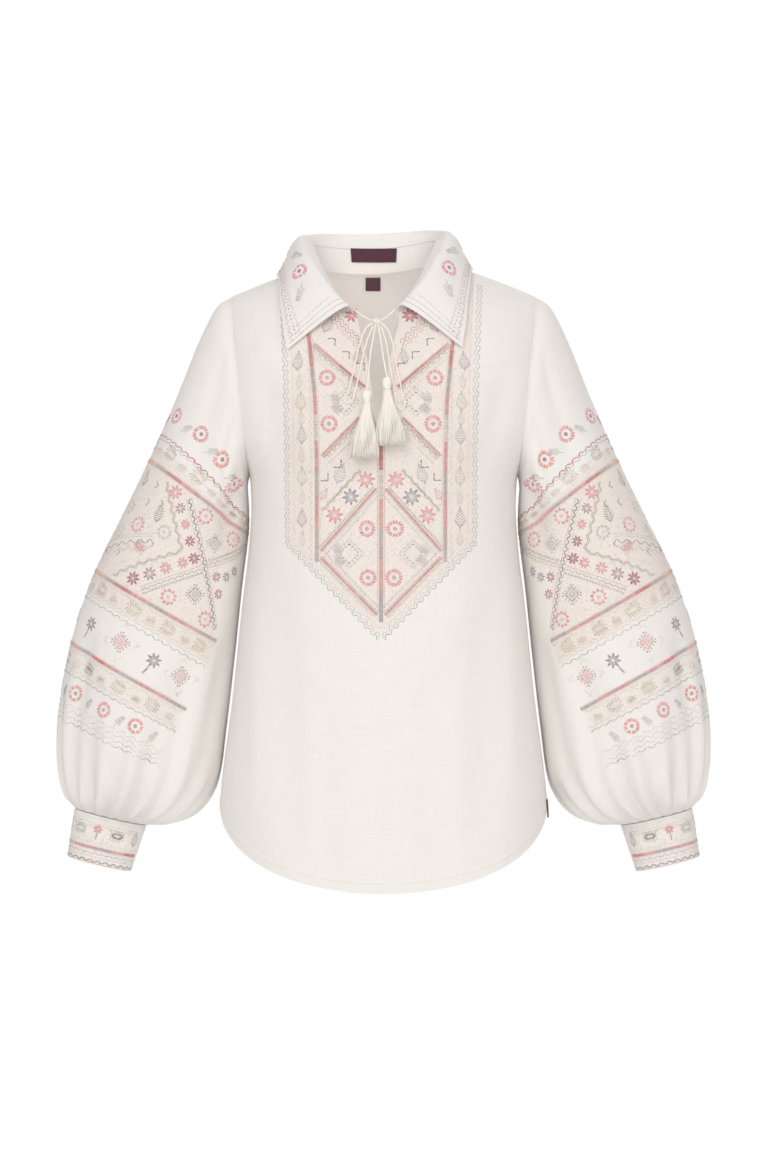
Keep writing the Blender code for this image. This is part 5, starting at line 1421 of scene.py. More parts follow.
class Patch:
    """A surface sampled evenly in two parameters: up the cloth and across it."""

    def __init__(self, points, normal, up_range, across_range):
        """Keep the grids and the ranges that their rows and columns span."""
        self.points = points
        self.normal = normal
        self.up_range = up_range
        self.across_range = across_range

    def read(self, up, across):
        """Points and unit normals at places, straight between the four samples round each."""
        rows, columns = self.points.shape[:2]
        low, high = self.up_range
        left, right = self.across_range
        row = np.clip((up - low) / (high - low) * (rows - 1), 0, rows - 1.001)
        column = np.clip((across - left) / (right - left) * (columns - 1), 0, columns - 1.001)
        r, c = row.astype(int), column.astype(int)
        fr, fc = (row - r)[..., None], (column - c)[..., None]
        found = []
        for grid in (self.points, self.normal):
            lower = grid[r, c] * (1 - fc) + grid[r, c + 1] * fc
            upper = grid[r + 1, c] * (1 - fc) + grid[r + 1, c + 1] * fc
            found.append(lower * (1 - fr) + upper * fr)
        return found[0], unit(found[1])

    def axes(self, up, across):
        """How the point moves per unit of each parameter, and unit directions across and up the cloth."""
        step_up = (self.up_range[1] - self.up_range[0]) * 0.006
        step_across = (self.across_range[1] - self.across_range[0]) * 0.004
        by_up = (self.read(up + step_up, across)[0] - self.read(up - step_up, across)[0]) / (2 * step_up)
        by_across = self.read(up, across + step_across)[0] - self.read(up, across - step_across)[0]
        by_across = by_across / (2 * step_across)
        first = unit(by_across)
        second = unit(by_up - (by_up * first).sum(-1, keepdims=True) * first)
        return by_up, by_across, first, second

    def local(self, up, across, p, q):
        """Places p metres across and q metres up from given places, in the surface's tangent plane."""
        by_up, by_across, first, second = self.axes(up, across)
        move_up = q / np.maximum((by_up * second).sum(-1), 1e-9)
        rest = p - (by_up * first).sum(-1) * move_up
        return up + move_up, across + rest / np.maximum((by_across * first).sum(-1), 1e-9)


def resampled(points, normal, lengths, wanted):
    """Grid rows read at wanted lengths along each row, round the ring for lengths below zero."""
    new_points, new_normal = [], []
    for row in range(len(points)):
        places = np.mod(wanted, lengths[row, -1])
        new_points.append([np.interp(places, lengths[row], points[row, :, i]) for i in range(3)])
        new_normal.append([np.interp(places, lengths[row], normal[row, :, i]) for i in range(3)])
    return np.moveaxis(np.array(new_points), 1, -1), unit(np.moveaxis(np.array(new_normal), 1, -1))


def tube_patch(points, normal, start, reach):
    """A closed grid as a patch: up is 1 less the share down it, across is metres round from start."""
    ring, lengths, order = ring_lengths(points, start)
    wanted = np.linspace(-reach, reach, 601)
    found, facing = resampled(ring, normal[:, order], lengths, wanted)
    return Patch(found[::-1], facing[::-1], (0.0, 1.0), (-reach, reach)), lengths[:, -1]


def view_patch():
    """The front as the camera sees it: up and across are metres in the upright plane through the middle."""
    across = np.linspace(-0.125, 0.125, 168)
    up = np.linspace(-0.44, -0.022, 276)
    plane_x, plane_z = np.meshgrid(across, up)
    y = np.full(plane_x.shape, -0.1)
    for _ in range(5):
        scale = (y - CAMERA_PLACE[1]) / -CAMERA_PLACE[1]
        x = CAMERA_PLACE[0] + (plane_x - CAMERA_PLACE[0]) * scale
        z = CAMERA_PLACE[2] + (plane_z - CAMERA_PLACE[2]) * scale
        points = cloth_front(x, z)
        y = points[..., 1]
    normal = surface_normals(points, np.broadcast_to([0.0, -1.0, 0.0], points.shape))
    return Patch(points, normal, (-0.44, -0.022), (-0.125, 0.125))


# Stitches

THREADS = {
    "rose": srgb(236, 168, 173), "crimson": srgb(210, 116, 134), "coral": srgb(241, 178, 164),
    "pink": srgb(243, 201, 203), "blush": srgb(244, 220, 213), "mauve": srgb(202, 186, 192),
    "plum": srgb(176, 158, 168), "olive": srgb(200, 192, 162), "grey": srgb(178, 177, 180),
    "silver": srgb(212, 211, 211), "charcoal": srgb(116, 113, 118), "cream": srgb(250, 244, 234),
    "brown": srgb(184, 166, 152), "sand": srgb(236, 224, 207), "dusty": srgb(240, 221, 213),
    "bar_red": srgb(234, 160, 158), "bar_rose": srgb(243, 192, 191), "bar_coral": srgb(245, 201, 189),
    "bar_mauve": srgb(221, 205, 202), "bar_grey": srgb(211, 203, 201), "bar_sand": srgb(243, 233, 220),
}
STITCH_HEIGHT = 0.00042
STITCH_SINK = 0.00012

# A stitch is a closed spindle: its start, three points near it, three near its end, and its end
SPINDLE_POINTS = 8
SPINDLE_FACES = np.array([(0, 1, 2), (0, 2, 3), (0, 3, 1), (1, 4, 5), (1, 5, 2), (2, 5, 6), (2, 6, 3),
                          (3, 6, 4), (3, 4, 1), (7, 5, 4), (7, 6, 5), (7, 4, 6)])


def spindle_faces(vertices, mirror=False):
    """The faces of every spindle, turned away from the first one's middle."""
    probe = vertices[0][SPINDLE_FACES[4]]
    outward = probe.mean(axis=0) - vertices[0].mean(axis=0)
    inside_out = np.cross(probe[1] - probe[0], probe[2] - probe[0]) @ outward < 0
    faces = SPINDLE_FACES[:, ::-1] if inside_out != mirror else SPINDLE_FACES
    return (faces[None] + (np.arange(len(vertices)) * SPINDLE_POINTS)[:, None, None]).reshape(-1, 3)


def spindle_spots(near, far):
    """Where a spindle's points lie on its thread: the share across it and the share along it."""
    rings = [(across, along) for along in (near, far) for across in (0.0, 0.5, 1.0)]
    return np.array([(0.5, 0.0), *rings, (0.5, 1.0)])


class Work:
    """Stitches gathered for one patch, later made into a single mesh."""

    def __init__(self, patch, seed):
        """Start with no stitches and a seeded source of small unevenness."""
        self.patch = patch
        self.random = np.random.default_rng(seed)
        self.rows = []

    def add(self, up, across, end_up, end_across, width, tones, height=1.0):
        """Take in stitches between places. tones is one thread name or one for each."""
        count = len(up)
        names = [tones] * count if isinstance(tones, str) else list(tones)
        colours = np.array([THREADS[name] for name in names])
        sizes = [np.broadcast_to(value, count) for value in (width, height)]
        self.rows.append(np.column_stack([up, across, end_up, end_across, *sizes, colours]))

    def stations(self, places, pitch):
        """Evenly spaced places along straight runs between given ones, with the run's direction."""
        places = np.array(places, dtype=float)
        key = np.linspace(0, len(places) - 1, 60 * (len(places) - 1) + 1)
        up = np.interp(key, np.arange(len(places)), places[:, 0])
        across = np.interp(key, np.arange(len(places)), places[:, 1])
        points = self.patch.read(up, across)[0]
        run = np.concatenate([[0], np.cumsum(np.linalg.norm(np.diff(points, axis=0), axis=1))])
        count = max(int(round(run[-1] / pitch)), 1)
        at = np.linspace(0, run[-1], count + 1)
        up, across = np.interp(at, run, up), np.interp(at, run, across)
        points = np.stack([np.interp(at, run, points[:, i]) for i in range(3)], axis=-1)
        heading = unit(np.gradient(points, axis=0))
        first, second = self.patch.axes(up, across)[2:]
        flat = unit(np.stack([(heading * first).sum(-1), (heading * second).sum(-1)], axis=-1))
        return up, across, flat

    def aside(self, found, offset):
        """Stations moved sideways, to the left of the way they run."""
        up, across, flat = found
        return self.patch.local(up, across, -flat[:, 1] * offset, flat[:, 0] * offset)

    def running(self, places, pitch, width, tone, gap=0.25, offset=0.0, height=1.0):
        """A line of stitches end to end with small gaps."""
        up, across = self.aside(self.stations(places, pitch), offset)
        stop = 1 - gap
        self.add(up[:-1], across[:-1], up[:-1] + (up[1:] - up[:-1]) * stop,
                 across[:-1] + (across[1:] - across[:-1]) * stop, width, tone, height)

    def zigzag(self, places, pitch, swing, width, tone, offset=0.0):
        """A zigzag line: every other station to the one side and the other."""
        found = self.stations(places, pitch)
        side = np.where(np.arange(len(found[0])) % 2 == 0, swing, -swing) + offset
        up, across = self.aside(found, side)
        self.add(up[:-1], across[:-1], up[1:], across[1:], width, tone)

    def wave(self, places, pitch, swing, width, tone, offset=0.0):
        """A wavy line of short stitches, six to a wave of the given pitch."""
        found = self.stations(places, pitch / 6)
        side = swing * np.sin(np.arange(len(found[0])) * math.pi / 3) + offset
        up, across = self.aside(found, side)
        self.add(up[:-1], across[:-1], up[1:], across[1:], width, tone)

    def satin(self, places, half, tones, share_ends, edge="cream"):
        """A raised bar of close cross stitches, whose thread changes at shares of its length."""
        found = self.stations(places, 0.00088)
        left, right = self.aside(found, half), self.aside(found, -half)
        share = np.linspace(0, 1, len(found[0]))
        names = np.array(tones)[np.minimum(np.searchsorted(share_ends, share), len(tones) - 1)]
        self.add(*left, *right, 0.00100, names, 1.35)
        for offset in (half + 0.0006, -half - 0.0006):
            self.running(places, 0.0034, 0.0006, edge, 0.1, offset)

    def motif(self, unit_rows, centres, size, tones, angle=0.0, stretch=1.0):
        """Copies of a unit motif at centres. tones names the thread of each of the motif's tone numbers."""
        shape = np.array(unit_rows, dtype=float)
        for index, (up, across) in enumerate(centres):
            palette = tones[index % len(tones)] if isinstance(tones[0], (tuple, list)) else tones
            turn = angle[index % len(angle)] if np.ndim(angle) else angle
            jitter = 1 + self.random.normal(0, 0.03, 2)
            x = shape[:, (0, 2)] * size * stretch * jitter[0]
            y = shape[:, (1, 3)] * size * jitter[1]
            p = x * math.cos(turn) - y * math.sin(turn)
            q = x * math.sin(turn) + y * math.cos(turn)
            centre_up, centre_across = np.full(p.shape, up), np.full(p.shape, across)
            new_up, new_across = self.patch.local(centre_up, centre_across, p, q)
            self.add(new_up[:, 0], new_across[:, 0], new_up[:, 1], new_across[:, 1], shape[:, 4] * size,
                     [palette[int(tone)] for tone in shape[:, 5]])

    def make(self, name, thread, mirror=False, keep=None):
        """All the stitches as closed spindles that bulge off the cloth, in one mesh."""
        rows = np.concatenate(self.rows)
        if keep is not None:
            rows = rows[keep((rows[:, 0] + rows[:, 2]) / 2, (rows[:, 1] + rows[:, 3]) / 2)]
        share = np.array([0.0, 0.14, 0.86, 1.0])
        up = rows[:, :1] + (rows[:, 2:3] - rows[:, :1]) * share
        across = rows[:, 1:2] + (rows[:, 3:4] - rows[:, 1:2]) * share
        points, normal = self.patch.read(up, across)
        along = unit(points[:, 3] - points[:, 0])[:, None]
        side = unit(np.cross(normal, np.broadcast_to(along, normal.shape)))
        half = rows[:, 4:5, None] / 2 * (1 + self.random.normal(0, 0.08, (len(rows), 1, 1)))
        lift = rows[:, 5:6, None] * STITCH_HEIGHT * (1 + self.random.normal(0, 0.12, (len(rows), 1, 1)))
        sunk = points - normal * STITCH_SINK
        left, right = sunk - side * half, sunk + side * half
        top = points + normal * lift
        near, far = ([part[:, index] for part in (left, top, right)] for index in (1, 2))
        vertices = np.stack([sunk[:, 0], *near, *far, sunk[:, 3]], axis=1)
        every = spindle_faces(vertices, mirror)
        if mirror:
            vertices = vertices * MIRROR
        shade = 1 + self.random.normal(0, 0.07, (len(rows), 1))
        colour = np.repeat(np.clip(rows[:, 6:9] * shade, 0, 1), SPINDLE_POINTS, axis=0)
        length = np.linalg.norm(points[:, 3] - points[:, 0], axis=-1)
        flat = np.repeat(spindle_spots(share[1], share[2])[None], len(rows), axis=0)
        flat[..., 1] *= (length / 0.004)[:, None]
        flat += np.arange(len(rows))[:, None, None] * 0.37
        uv = flat.reshape(-1, 2)[every.ravel()]
        return new_object(name, vertices.reshape(-1, 3), every, thread, uv=uv, colour=colour)


# Motifs as unit stitches: start, end, width and tone number

def ring_of(count, inner, outer, width, tone, spread_in=0.0, spread_out=0.0, start=0.0):
    """Stitches that point out from the middle, evenly round it, each end turned a little."""
    turn = start + np.arange(count) / count * 2 * math.pi
    columns = [inner * np.cos(turn + spread_in), inner * np.sin(turn + spread_in),
               outer * np.cos(turn + spread_out), outer * np.sin(turn + spread_out)]
    return np.column_stack([*columns, np.full(count, width), np.full(count, tone)])


def hoop_of(count, radius, width, tone, start=0.0, gap=0.15):
    """Stitches end to end round a circle."""
    turn = start + np.arange(count) / count * 2 * math.pi
    end = turn + (1 - gap) * 2 * math.pi / count
    columns = [radius * np.cos(turn), radius * np.sin(turn), radius * np.cos(end), radius * np.sin(end)]
    return np.column_stack([*columns, np.full(count, width), np.full(count, tone)])


def rosette():
    """A round flower: eight notched petals of three thick stitches, a plain ring and a dotted middle."""
    petals = [ring_of(8, 0.54, 0.98, 0.29, 0, 0.14, 0.20), ring_of(8, 0.54, 0.98, 0.29, 0, -0.14, -0.20),
              ring_of(8, 0.52, 0.84, 0.22, 1)]
    middle = [ring_of(4, 0.03, 0.26, 0.17, 2), ring_of(4, 0.08, 0.27, 0.12, 1, 0, 0, 0.785)]
    return np.concatenate(petals + middle)


def open_rosette():
    """A wreath of ten thick knobs round a plain middle with a small dotted heart."""
    knobs = [ring_of(10, 0.58, 0.98, 0.30, 0, 0.0, 0.06), ring_of(10, 0.56, 0.84, 0.16, 1, 0.31, 0.31)]
    return np.concatenate([*knobs, ring_of(6, 0.06, 0.26, 0.14, 1)])


def star():
    """An eight-armed star: kite arms, each of two stitches that meet in a point, filled with a third."""
    return np.concatenate([ring_of(8, 0.12, 0.74, 0.24, 1), ring_of(8, 0.42, 1.0, 0.15, 0, 0.37, 0.0),
                           ring_of(8, 0.42, 1.0, 0.15, 0, -0.37, 0.0), hoop_of(8, 0.40, 0.11, 0, 0.39),
                           ring_of(8, 0.50, 0.95, 0.11, 0)])


def sprig():
    """A thin stem with pairs of fine slanted leaves and a pointed tip."""
    rows = [(0, -1.0, 0, -0.35, 0.07, 0), (0, -0.35, 0, 0.35, 0.07, 0), (0, 0.35, 0, 1.0, 0.06, 0)]
    for index in range(5):
        y = -0.45 + 0.28 * index
        reach = 0.46 - 0.05 * index
        for hand in (-1, 1):
            rows.append((hand * 0.03, y, hand * reach, y + 0.34, 0.055, 0))
            rows.append((hand * reach * 0.55, y + 0.05, hand * reach * 1.02, y + 0.20, 0.05, 1))
    return np.array(rows)


def leaf():
    """A lying leaf: a filled middle drawn out to both ends, with slanted teeth that stand clear of it."""
    rows = [(-1.0, 0.0, 1.0, 0.0, 0.11, 0)]
    for y, reach in ((0.0, 0.86), (0.13, 0.72), (-0.13, 0.72), (0.25, 0.48), (-0.25, 0.48)):
        rows.append((-reach, y, reach * 0.9, y, 0.15, 1))
    for index in range(6):
        x = -0.78 + 0.27 * index
        reach = 0.66 * math.sqrt(max(1 - (x * 0.9) ** 2, 0.1))
        for hand in (-1, 1):
            rows.append((x, 0.16 * hand, x + 0.17, hand * reach, 0.105, 0))
    return np.array(rows)


TREE_TIERS = ((-0.74, 0.26), (-0.56, 0.46), (-0.34, 0.54), (-0.12, 0.48), (0.10, 0.39), (0.30, 0.29),
              (0.50, 0.17))


def tree():
    """A small tree: tiers of rising boughs round a dotted stem, widest low down, with a spire."""
    rows = [(0, -1.0, 0, -0.62, 0.13, 0), (0, 0.52, 0, 1.0, 0.12, 0)]
    for y, reach in TREE_TIERS:
        for hand in (-1, 1):
            rows.append((0.05 * hand, y - 0.02, hand * reach * 0.72, y + 0.02, 0.10, 1))
            rows.append((hand * reach * 0.62, y, hand * reach * 1.05, y + 0.17, 0.085, 0))
        rows.append((-0.05, y + 0.09, 0.05, y + 0.09, 0.09, 0))
    return np.array(rows)


def square():
    """A knotted square: a thick frame, a small square in it, a middle dot and knobs along the sides."""
    rows = []
    for half, width, tone in ((0.60, 0.17, 0), (0.42, 0.08, 1), (0.24, 0.12, 0)):
        corners = ((-half, -half), (half, -half), (half, half), (-half, half), (-half, -half))
        for (x0, y0), (x1, y1) in zip(corners[:-1], corners[1:]):
            middle = ((x0 + x1) / 2, (y0 + y1) / 2)
            rows.append((x0, y0, *middle, width, tone))
            rows.append((*middle, x1, y1, width, tone))
    for side in range(4):
        for place in (-0.60, -0.20, 0.20, 0.60):
            x, y = place, 0.80
            for _ in range(side):
                x, y = -y, x
            rows.append((x * 0.96, y * 0.96, x * 1.20, y * 1.20, 0.20, 2))
    rows += [(-0.09, -0.09, 0.09, 0.09, 0.14, 1), (-0.09, 0.09, 0.09, -0.09, 0.14, 1)]
    return np.array(rows)


def star_tree():
    """A star on a stem with two short feet."""
    head = star() * np.array([0.66, 0.66, 0.66, 0.66, 0.72, 1]) + np.array([0, 0.34, 0, 0.34, 0, 0])
    stem = np.array([(0, -0.05, 0, -0.55, 0.14, 1), (0, -0.5, 0, -1.0, 0.14, 1),
                     (0.08, -0.4, 0.08, -0.9, 0.1, 1), (-0.14, -1.0, 0.16, -1.0, 0.1, 1)])
    return np.concatenate([head, stem])


def corner_mark():
    """A small L of two dark stitches each way."""
    return np.array([(0, 0, 0.5, 0, 0.16, 0), (0.5, 0, 1, 0, 0.16, 0), (1, 0, 1, -0.5, 0.16, 0),
                     (1, -0.5, 1, -1, 0.16, 0)])


def frame_marks():
    """Four small corners of fine stitches set round an empty square."""
    rows = []
    for turn in range(4):
        for x0, y0, x1, y1 in ((0.82, 0.40, 0.82, 0.82), (0.82, 0.82, 0.40, 0.82), (0.92, 0.62, 0.92, 0.96)):
            for _ in range(turn):
                x0, y0, x1, y1 = -y0, x0, -y1, x1
            rows.append((x0, y0, x1, y1, 0.05, 0))
    return np.array(rows)


def dotted_diamond():
    """A lozenge of round dots with a double frame of fine stitches and scribbled corners."""
    rows = []
    for reach in (1.0, 0.88):
        corners = ((0, -reach), (reach, 0), (0, reach), (-reach, 0), (0, -reach))
        for (x0, y0), (x1, y1) in zip(corners[:-1], corners[1:]):
            for part in range(4):
                a, b = part / 4, (part + 0.85) / 4
                ends = [(x0 + (x1 - x0) * at, y0 + (y1 - y0) * at) for at in (a, b)]
                rows.append((*ends[0], *ends[1], 0.045, 1))
    for hand_x, hand_y in ((1, 1), (1, -1), (-1, 1), (-1, -1)):
        for part in (0.08, 0.33, 0.58, 0.83):
            x, y = hand_x * 0.66 * part, hand_y * 0.66 * (1 - part)
            rows.append((x - 0.04, y, x + 0.04, y, 0.13, 0))
            rows.append((x, y - 0.04, x, y + 0.04, 0.13, 0))
    return np.array(rows)


# Where the stitching lies. The bib's places are metres from its middle line and below the shoulders

BIB_ROSETTES = ((0.0605, -0.1299), (0.0582, -0.1814), (0.0157, -0.2990), (0.0146, -0.3539))
BIB_DIAMONDS = ((0.0392, -0.1568), (0.0358, -0.3270))
BIB_RED_STARS = ((0.0521, -0.2839), (0.0168, -0.2442))
BIB_MAUVE_STAR = (0.0342, -0.2632)
BIB_NECK_STAR = (0.0325, -0.0600)
BIB_TREES = ((0.0930, -0.1110, "plum"), (0.0902, -0.1560, "olive"), (0.0890, -0.1935, "mauve"),
             (0.0885, -0.2400, "olive"), (0.0885, -0.2868, "plum"))
BIB_PALE_TREES = ((0.0915, -0.1335), (0.0895, -0.1750), (0.0890, -0.2165), (0.0885, -0.2634),
                  (0.0880, -0.3100))
BIB_SIDE_BAR = ((0.0815, -0.0780), (0.0780, -0.1120), (0.0738, -0.1560), (0.0721, -0.2200),
                (0.0718, -0.3360))
BIB_SIDE_TONES = ("bar_red", "bar_grey", "bar_rose", "bar_sand", "bar_rose", "bar_mauve", "bar_rose",
                  "bar_mauve")
BIB_SIDE_ENDS = (0.163, 0.27, 0.372, 0.487, 0.614, 0.729, 0.857, 1.0)
BIB_MIDDLE_TONES = ("bar_red", "bar_sand", "bar_coral", "bar_mauve", "bar_coral", "bar_grey")
BIB_MIDDLE_ENDS = (0.20, 0.36, 0.51, 0.665, 0.83, 1.0)
BIB_EDGE = ((0.1125, -0.0260), (0.1085, -0.1300), (0.1070, -0.2100), (0.1065, -0.3160), (0.0030, -0.4230))
BIB_LOW_PEAK = (0.0056, -0.2542)
BIB_LOW_LEFT = (0.0672, -0.3237)
BIB_LOW_TIP = (0.0045, -0.3954)
BIB_HIGH_DIAGONAL = ((0.0750, -0.0918), (0.0185, -0.1400))
BIB_MID_DIAGONAL = ((0.0666, -0.2173), (0.0246, -0.1747))
BIB_MARKS = ((0.0600, -0.0862, 0.0), (0.0437, -0.1008, 0.0), (0.0275, -0.1137, 0.0),
             (0.0448, -0.2215, -1.571), (0.0594, -0.2365, -1.571))


def scatter(work, low, high, left, right, count, tones, keep):
    """Short fine stitches strewn over a block of ground, where keep allows them."""
    up = work.random.uniform(low, high, count)
    across = work.random.uniform(left, right, count)
    inside = keep(up, across)
    up, across = up[inside], across[inside]
    turn = work.random.integers(0, 4, len(up)) * math.pi / 4
    p, q = 0.0014 * np.cos(turn), 0.0014 * np.sin(turn)
    start_up, start_across = work.patch.local(up, across, -p, -q)
    end_up, end_across = work.patch.local(up, across, p, q)
    names = np.array(tones)[work.random.integers(0, len(tones), len(up))]
    work.add(start_up, start_across, end_up, end_across, 0.0005, names, 0.7)


def sew_bib(patch):
    """The bib: both halves alike about its middle line, inside a stepped double border with a low point."""
    work = Work(patch, 11)
    for hand in (-1, 1):
        def at(away, height):
            return height, BIB_MIDDLE + hand * away

        edge = [at(*place) for place in BIB_EDGE]
        work.zigzag(edge[:4], 0.0051, 0.0019, 0.0010, "grey")
        work.zigzag(edge[:4], 0.0051, 0.0019, 0.0010, "mauve", offset=hand * -0.0038)
        work.zigzag(edge[3:], 0.0049, 0.0022, 0.0010, "grey")
        work.zigzag(edge[3:], 0.0049, 0.0022, 0.0010, "silver", offset=hand * -0.0036)
        inner = [at(away - 0.0285, height) for away, height in BIB_EDGE[:3]] + [at(0.0785, -0.335)]
        work.zigzag(inner, 0.0046, 0.0017, 0.0009, "dusty")
        lines = [at(away - 0.0095, height) for away, height in BIB_EDGE[:4]] + [at(0.006, -0.408)]
        work.running(lines, 0.0040, 0.0008, "blush")
        for away, height, tone in BIB_TREES:
            work.motif(tree(), [at(away, height)], 0.0118, (tone, "sand" if tone == "olive" else "mauve"))
        for away, height in BIB_PALE_TREES:
            work.motif(tree(), [at(away, height)], 0.0098, ("dusty", "sand"), stretch=0.85)
        bar = [at(*place) for place in BIB_SIDE_BAR]
        work.satin(bar, 0.0025, BIB_SIDE_TONES, BIB_SIDE_ENDS)
        work.motif(rosette(), [at(*place) for place in BIB_ROSETTES], 0.0101, ("rose", "pink", "mauve"))
        for away, height in BIB_DIAMONDS:
            work.motif(dotted_diamond(), [at(away, height)], 0.0165, ("grey", "silver"))
            work.motif(leaf(), [at(away + 0.0125, height + 0.0045)], 0.0085, ("silver", "dusty"), 2.2, 0.9)
            work.motif(leaf(), [at(away + 0.0105, height - 0.0080)], 0.0078, ("mauve", "dusty"), -0.7)
        work.motif(star(), [at(*place) for place in BIB_RED_STARS], 0.0100, ("rose", "pink"), 0.12)
        work.motif(star(), [at(*BIB_MAUVE_STAR)], 0.0098, ("plum", "silver"), 0.12)
        work.motif(star(), [at(*BIB_NECK_STAR)], 0.0095, ("crimson", "rose"), 0.3)
        work.motif(tree(), [at(0.0594, -0.0706)], 0.0115, ("plum", "rose"), hand * 0.35)
        work.motif(tree(), [at(0.0258, -0.1050)], 0.0100, ("olive", "grey"), hand * 0.2)
        work.motif(tree(), [at(0.0456, -0.2374)], 0.0125, ("mauve", "silver"), hand * 0.35)
        work.motif(tree(), [at(0.0640, -0.2600)], 0.0085, ("rose", "dusty"), hand * 0.6)
        for away, height, turn in BIB_MARKS:
            shape = corner_mark() * np.array([-hand, 1, -hand, 1, 1, 1])
            work.motif(shape, [at(away, height)], 0.0086, ("charcoal",), -hand * turn)
        for line, tones in ((BIB_HIGH_DIAGONAL, ("bar_rose", "bar_red")),
                            (BIB_MID_DIAGONAL, ("bar_coral", "bar_rose"))):
            run = [at(*place) for place in line]
            work.satin(run, 0.0018, tones, (0.5, 1.0))
            work.wave(run, 0.0085, 0.0016, 0.0011, "olive", offset=hand * 0.0042)
            work.zigzag(run, 0.0018, 0.0009, 0.0009, "brown", offset=hand * 0.0030)
            for offset in (0.0062, 0.0078, 0.0110, 0.0124):
                work.running(run, 0.0040, 0.0008, "sand" if offset < 0.01 else "dusty", 0.15, hand * offset)
        for start, end in ((BIB_LOW_LEFT, BIB_LOW_PEAK), (BIB_LOW_LEFT, BIB_LOW_TIP)):
            run = [at(start[0], start[1] - (0.0078 if end is BIB_LOW_TIP else 0.0)), at(*end)]
            out = hand if end is BIB_LOW_PEAK else -hand
            work.satin(run, 0.0018, ("bar_rose", "bar_coral", "bar_rose"), (0.35, 0.7, 1.0))
            work.running(run, 0.0030, 0.0009, "brown" if end is BIB_LOW_PEAK else "pink", 0.08, -out * 0.0034)
            for offset in (0.0030, 0.0060, 0.0075):
                work.running(run, 0.0038, 0.0008, "silver", 0.15, out * offset)
            work.wave(run, 0.0090, 0.0012, 0.0009, "sand", offset=-out * 0.0050)
        band = [at(0.0235, -0.2330), at(0.0660, -0.2790)]
        for offset in (-0.0011, 0.0011):
            work.wave(band, 0.0105, 0.0014, 0.0008, "olive", offset=offset)
        work.zigzag(band, 0.0016, 0.0009, 0.0008, "brown")
        step = [at(0.0580, -0.0570), at(0.0235, -0.0930)]
        work.zigzag(step, 0.0046, 0.0021, 0.0010, "brown")
        work.zigzag(step, 0.0046, 0.0021, 0.0008, "rose", offset=hand * 0.0040)
        work.zigzag(step, 0.0046, 0.0021, 0.0008, "crimson", offset=-hand * 0.0040)
        slit = [at(0.0085 + SLIT_TOP_HALF_WIDTH * share ** 2, -0.182 + 0.105 * share)
                for share in (0, 0.3, 0.6, 1)]
        work.running(slit, 0.0042, 0.0010, "rose", 0.3)
        work.running([at(0.0035, -0.262), at(0.0035, -0.300)], 0.004, 0.0008, "dusty")
        beside = [at(away - 0.0035, height) for away, height in BIB_SIDE_BAR]
        work.running(beside, 0.0036, 0.0009, "dusty", 0.1)
    work.satin([(-0.1900, BIB_MIDDLE), (-0.4035, BIB_MIDDLE)], 0.0027, BIB_MIDDLE_TONES, BIB_MIDDLE_ENDS)
    for offset in (-0.0042, 0.0042):
        line = [(height, BIB_MIDDLE + offset) for height in (-0.205, -0.392)]
        work.running(line, 0.0034, 0.0009, "pink", 0.1)
    work.running([(-0.4095, BIB_MIDDLE - 0.007), (-0.4095, BIB_MIDDLE + 0.007)], 0.004, 0.0009, "blush")

    def on_ground(up, across):
        away = np.abs(across - BIB_MIDDLE)
        limit = 0.1000 - np.clip(-0.310 - up, 0, 1) * 0.1000 / 0.100
        return (away < limit) & (away > 0.006)

    scatter(work, -0.415, -0.045, -0.106, 0.101, 2600, ("dusty", "blush", "silver", "sand"), on_ground)

    def on_cloth(up, across):
        open_half = slit_half_width(up) + 0.0022
        return (np.abs(across - SLIT_CENTRE) > open_half) | (up < SLIT_END_HEIGHT - 0.004)

    return work, on_cloth


# The sleeve's places are the share down it and metres round it from its outer line

SLEEVE_TOP_ROSETTES = (0.0, 0.050, 0.102, 0.150, 0.197)
SLEEVE_TOP_SPRIGS = (0.026, 0.077, 0.126, 0.174)
SLEEVE_LEAVES = ((0.018, "mauve"), (0.064, "plum"), (0.111, "olive"), (0.154, "mauve"), (0.200, "olive"))
SLEEVE_LOW_LEAVES = ((0.005, "olive"), (0.050, "plum"), (0.101, "olive"), (0.145, "mauve"), (0.187, "olive"))
SLEEVE_STARS = ((0.343, 0.088, "rose", 0.0092), (0.364, 0.100, "plum", 0.0066),
                (0.387, 0.112, "rose", 0.0062),
                (0.413, 0.124, "crimson", 0.0066), (0.440, 0.136, "crimson", 0.0072),
                (0.460, 0.127, "rose", 0.0066), (0.486, 0.113, "rose", 0.0072), (0.512, 0.100, "plum", 0.0078),
                (0.536, 0.085, "crimson", 0.0088))
SLEEVE_SQUARES = ((0.387, 0.152, 0.0088), (0.503, 0.156, 0.0100))
SLEEVE_WREATHS = ((0.345, 0.131), (0.350, 0.178), (0.440, 0.057), (0.533, 0.131), (0.536, 0.180))
SLEEVE_SMALL_STARS = ((0.440, 0.183, "plum"), (0.450, 0.170, "crimson"), (0.480, 0.182, "crimson"),
                      (0.420, 0.193, "plum"))


